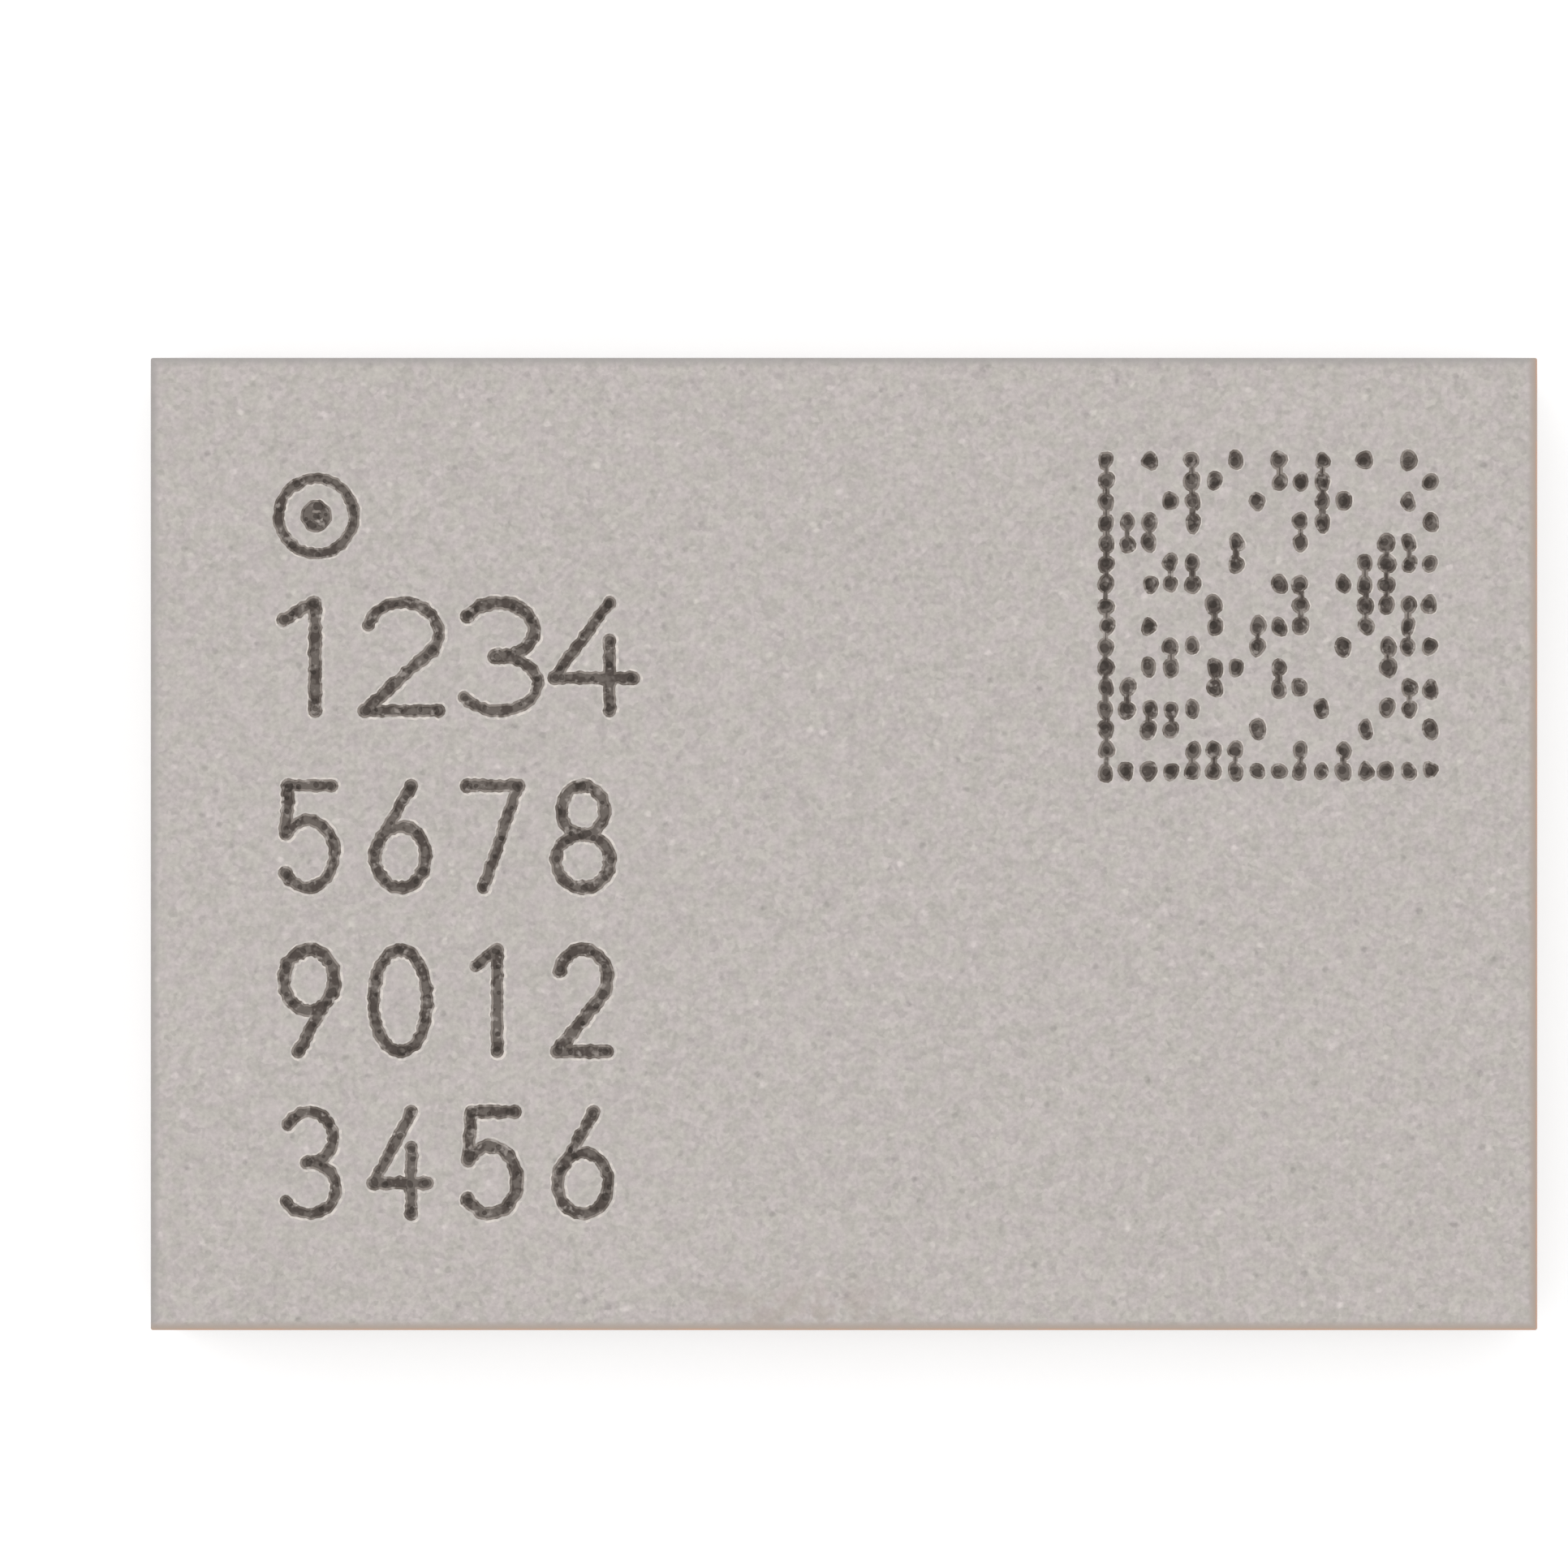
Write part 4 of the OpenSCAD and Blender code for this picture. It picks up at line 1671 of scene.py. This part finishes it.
@dataclass
class BallArray:
    """The solder balls, row by row.

    Lengths are in millimetres.

    Attributes:
        rows: The balls' middles in each row, by the row's letter.
        radius: A ball's radius.
        seat: Height at which a ball is cut flat against its land.
        dips: How far a ball's skin dips.
        dip_size: Size of the dips.
        crease: Angle in degrees at which a change of face stays sharp.
    """

    rows: dict[str, list[Point]]
    radius: float = 0.15
    seat: float = 0.24
    dips: float = 0.004
    dip_size: float = 0.09
    crease: float = 40.0

    def build(self) -> None:
        """Makes every row and hands it over."""
        # painted reflection: the bright and dull patches stand in partly for reflected lights and the dark
        # gaps between them, partly for the solder's own patchy skin
        bright, dull_and_reflection_gap = srgb(222, 225, 230), srgb(132, 137, 148)
        solder = MetalFinish("solder", bright, dull_and_reflection_gap, roughness=0.2, relief=0.002, grain=20.0)
        model = self.ball(solder.build())
        cloud = bpy.data.textures.new("dips", "CLOUDS")
        cloud.noise_scale = self.dip_size
        for letter, places in self.rows.items():
            balls = [twin(model, f"ball_{letter}", (x, y, 0)) for x, y in places]
            row = join(balls, f"solder_balls_{letter}")
            activate(row)
            dips = row.modifiers.new("dips", "DISPLACE")
            dips.texture, dips.texture_coords = cloud, "LOCAL"
            dips.strength, dips.mid_level = self.dips, 1.0
            bpy.ops.object.modifier_apply(modifier=dips.name)
            smooth(row, self.crease)
            settle(row, "solder", f"balls_row_{letter}")
        bpy.data.meshes.remove(model.data)

    def ball(self, solder: bpy.types.Material) -> bpy.types.Object:
        """One ball, cut flat at its seat.

        Args:
            solder: Its material.

        Returns:
            The ball, at the origin.
        """
        bpy.ops.mesh.primitive_uv_sphere_add(
            segments=40, ring_count=24, radius=self.radius, location=(0, 0, self.radius)
        )
        ball = fix_place(bpy.context.active_object)
        with editing(ball, "FACE"):
            bpy.ops.mesh.select_all(action="SELECT")
            bpy.ops.mesh.bisect(
                plane_co=(0, 0, self.seat), plane_no=(0, 0, 1), use_fill=True, clear_outer=True
            )
        ball.data.materials.append(solder)
        return ball


@dataclass
class HiddenPieces:
    """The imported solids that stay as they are: what lies inside the mouldings.

    Attributes:
        replaced: The solids that other classes make anew, apart from the balls.
        ball_rows: How the names of the rows of balls start.
    """

    replaced: tuple[str, ...] = ("shield", "lower_mould")
    ball_rows: str = "balls_row"

    def finishes(self) -> dict[str, Callable[[], bpy.types.Material]]:
        """What makes the material for each of the record's material slots.

        Returns:
            Each finish's build method, by its slot.
        """
        copper = MetalFinish("copper", srgb(214, 146, 110), srgb(176, 108, 78), 0.35)
        solder = MetalFinish("solder_joint", srgb(216, 217, 220), srgb(180, 180, 180), 0.22)
        tin = MetalFinish("tin_plating", srgb(206, 206, 204), srgb(176, 174, 170), 0.4)
        silicon = CrystalFinish("silicon", srgb(84, 87, 104), srgb(100, 102, 116), 0.2)
        crystal = CrystalFinish("filter_crystal", srgb(186, 192, 196), srgb(166, 174, 180), 0.15)
        capacitor = CrystalFinish("capacitor_ceramic", srgb(168, 134, 98), srgb(150, 116, 84), 0.5)
        inductor = CrystalFinish("inductor_ceramic", srgb(76, 112, 150), srgb(66, 98, 134), 0.45)
        return {
            "mould_compound": CompoundFinish("mould_compound_body").build,
            "laminate_resin": WeaveFinish().build,
            "copper": copper.build,
            "solder": solder.build,
            "tin_plating": tin.build,
            "silicon": silicon.build,
            "filter_crystal": crystal.build,
            "capacitor_ceramic": capacitor.build,
            "inductor_ceramic": inductor.build,
        }

    def dress(self) -> None:
        """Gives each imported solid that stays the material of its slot."""
        builders, made = self.finishes(), {}
        for part in frame["record"]["subparts"]:
            node, slot = part["node"], part["material_slot"]
            if node in self.replaced or node.startswith(self.ball_rows):
                continue
            if slot not in made:
                made[slot] = builders[slot]()
            mesh = frame["nodes"][node].data
            mesh.materials.clear()
            mesh.materials.append(made[slot])
        LOG.info("inner solids dressed in %d finishes", len(made))


# ---------------------------------------------------------------- stage


@dataclass
class Stage:
    """Floor, light, world and camera.

    Attributes:
        floor_half: Half the floor's side in metres.
        floor_colour: Its colour.
        floor_glow: Light that the floor adds for rays that see it, so that it shows white.
        sky: World strength for lighting.
        lamps: Each lamp's name, the way its light travels, its strength and its angle in degrees.
        lens: Focal length in millimetres.
        frame_width: Width of the view at the top face, in millimetres.
        look_at: The view's middle on the top face, in millimetres.
    """

    floor_half: float = 0.6
    floor_colour: Colour = (0.82, 0.82, 0.82)
    floor_glow: float = 0.38
    sky: float = 0.8
    lamps: tuple[tuple[str, tuple[float, float, float], float, float], ...] = (
        ("key", (0.5, -0.45, -0.85), 0.55, 50.0),
        ("fill", (-0.7, 0.3, -0.75), 0.25, 60.0),
    )
    lens: float = 200.0
    frame_width: float = 8.706
    look_at: Point = (-0.333, 0.333)

    def build(self) -> None:
        """Makes the whole stage."""
        self.floor()
        self.world()
        for lamp in self.lamps:
            self.sun(*lamp)
        self.camera()

    def seen(self, graph: Graph) -> Wire:
        """Tells the rays that see a surface, which are camera, glossy and transmission rays.

        Args:
            graph: The graph of what they see.

        Returns:
            1 on such a ray and 0 on any other.
        """
        path = graph.node("LightPath").socket.node
        rays = [Wire(graph, path.outputs[f"Is {kind} Ray"]) for kind in ("Camera", "Glossy", "Transmission")]
        return graph.math("MAXIMUM", graph.math("MAXIMUM", rays[0], rays[1]), rays[2])

    def floor(self) -> None:
        """A wide pale floor at the seating plane, which lets rays through from below."""
        bpy.ops.object.select_all(action="DESELECT")
        bpy.ops.mesh.primitive_plane_add(size=2 * self.floor_half)
        plane = bpy.context.active_object
        plane.name = "floor"
        g = Graph.material("floor")
        plain = g.node("BsdfDiffuse", None, {"Color": self.floor_colour})
        glow = g.node("Emission", None, {"Color": WHITE, "Strength": self.floor_glow})
        both = g.node("AddShader", None, {0: plain, 1: glow})
        above = g.node("MixShader", None, {0: self.seen(g), 1: plain, 2: both})
        below = g.node("BsdfTransparent")
        under = g.node("NewGeometry", output="Backfacing")
        g.end(g.node("MixShader", None, {0: under, 1: above, 2: below}))
        plane.data.materials.append(g.owner)

    def world(self) -> None:
        """An even sky, which shows white."""
        world = bpy.data.worlds.new("sky")
        bpy.context.scene.world = world
        g = Graph(world)
        lit = g.node("Background", None, {"Color": WHITE, "Strength": self.sky})
        white = g.node("Background", None, {"Color": WHITE, "Strength": 1.0})
        g.end(g.node("MixShader", None, {0: self.seen(g), 1: lit, 2: white}), "OutputWorld")

    def sun(self, name: str, travel: tuple[float, float, float], strength: float, angle: float) -> None:
        """A soft lamp from one side.

        Args:
            name: Its name.
            travel: The way its light travels.
            strength: Its strength.
            angle: How wide it looks, in degrees.
        """
        data = bpy.data.lights.new(name, "SUN")
        data.energy, data.angle = strength, math.radians(angle)
        lamp = bpy.data.objects.new(name, data)
        lamp.rotation_euler = Vector(travel).to_track_quat("-Z", "Y").to_euler()
        lamp.visible_glossy = False
        bpy.context.scene.collection.objects.link(lamp)

    def camera(self) -> None:
        """A long lens that looks straight down at the top face."""
        data = bpy.data.cameras.new("camera")
        data.lens = self.lens
        top = box_mm("shield")[1].z
        distance = self.frame_width * self.lens / data.sensor_width
        data.clip_start, data.clip_end = 0.001, 2.0
        eye = bpy.data.objects.new("camera", data)
        eye.location = Vector((*self.look_at, top + distance)) / MM
        bpy.context.scene.collection.objects.link(eye)
        bpy.context.scene.camera = eye


# ---------------------------------------------------------------- the whole chip


@dataclass
class GridPlan:
    """Where the balls lie: two full rows, and in between the outer columns at each end.

    Attributes:
        columns: Ball positions across.
        pitch: Distance between columns and between rows.
        letters: Letter of each row, from the back.
        bare: Rows with a ball in the outermost columns alone.
    """

    columns: int = 15
    pitch: Point = (0.5, 0.53)
    letters: str = "abcdefghjk"
    bare: str = "cd"

    def rows(self) -> dict[str, list[Point]]:
        """The balls' middles in each row.

        Returns:
            The middles in millimetres, by the row's letter.
        """
        made = {}
        for i, letter in enumerate(self.letters):
            y = ((len(self.letters) - 1) / 2 - i) * self.pitch[1]
            made[letter] = [((c - (self.columns - 1) / 2) * self.pitch[0], y) for c in self.filled(letter)]
        return made

    def filled(self, letter: str) -> list[int]:
        """The columns that hold a ball in a row.

        Args:
            letter: The row's letter.

        Returns:
            The columns' numbers, from 0 at the left.
        """
        last = self.columns - 1
        if letter in (self.letters[0], self.letters[-1]):
            return list(range(self.columns))
        return [0, last] if letter in self.bare else [0, 1, last - 1, last]


def main() -> None:
    """Builds the chip and its stage."""
    logging.basicConfig(level=logging.INFO, format="%(message)s")
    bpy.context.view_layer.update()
    bpy.ops.object.select_all(action="DESELECT")
    bpy.context.scene.view_settings.view_transform = "Standard"
    rows = GridPlan().rows()
    Shield().build()
    LowerMoulding([place for row in rows.values() for place in row]).build()
    BallArray(rows).build()
    HiddenPieces().dress()
    Stage().build()


if __name__ == "__main__":
    main()
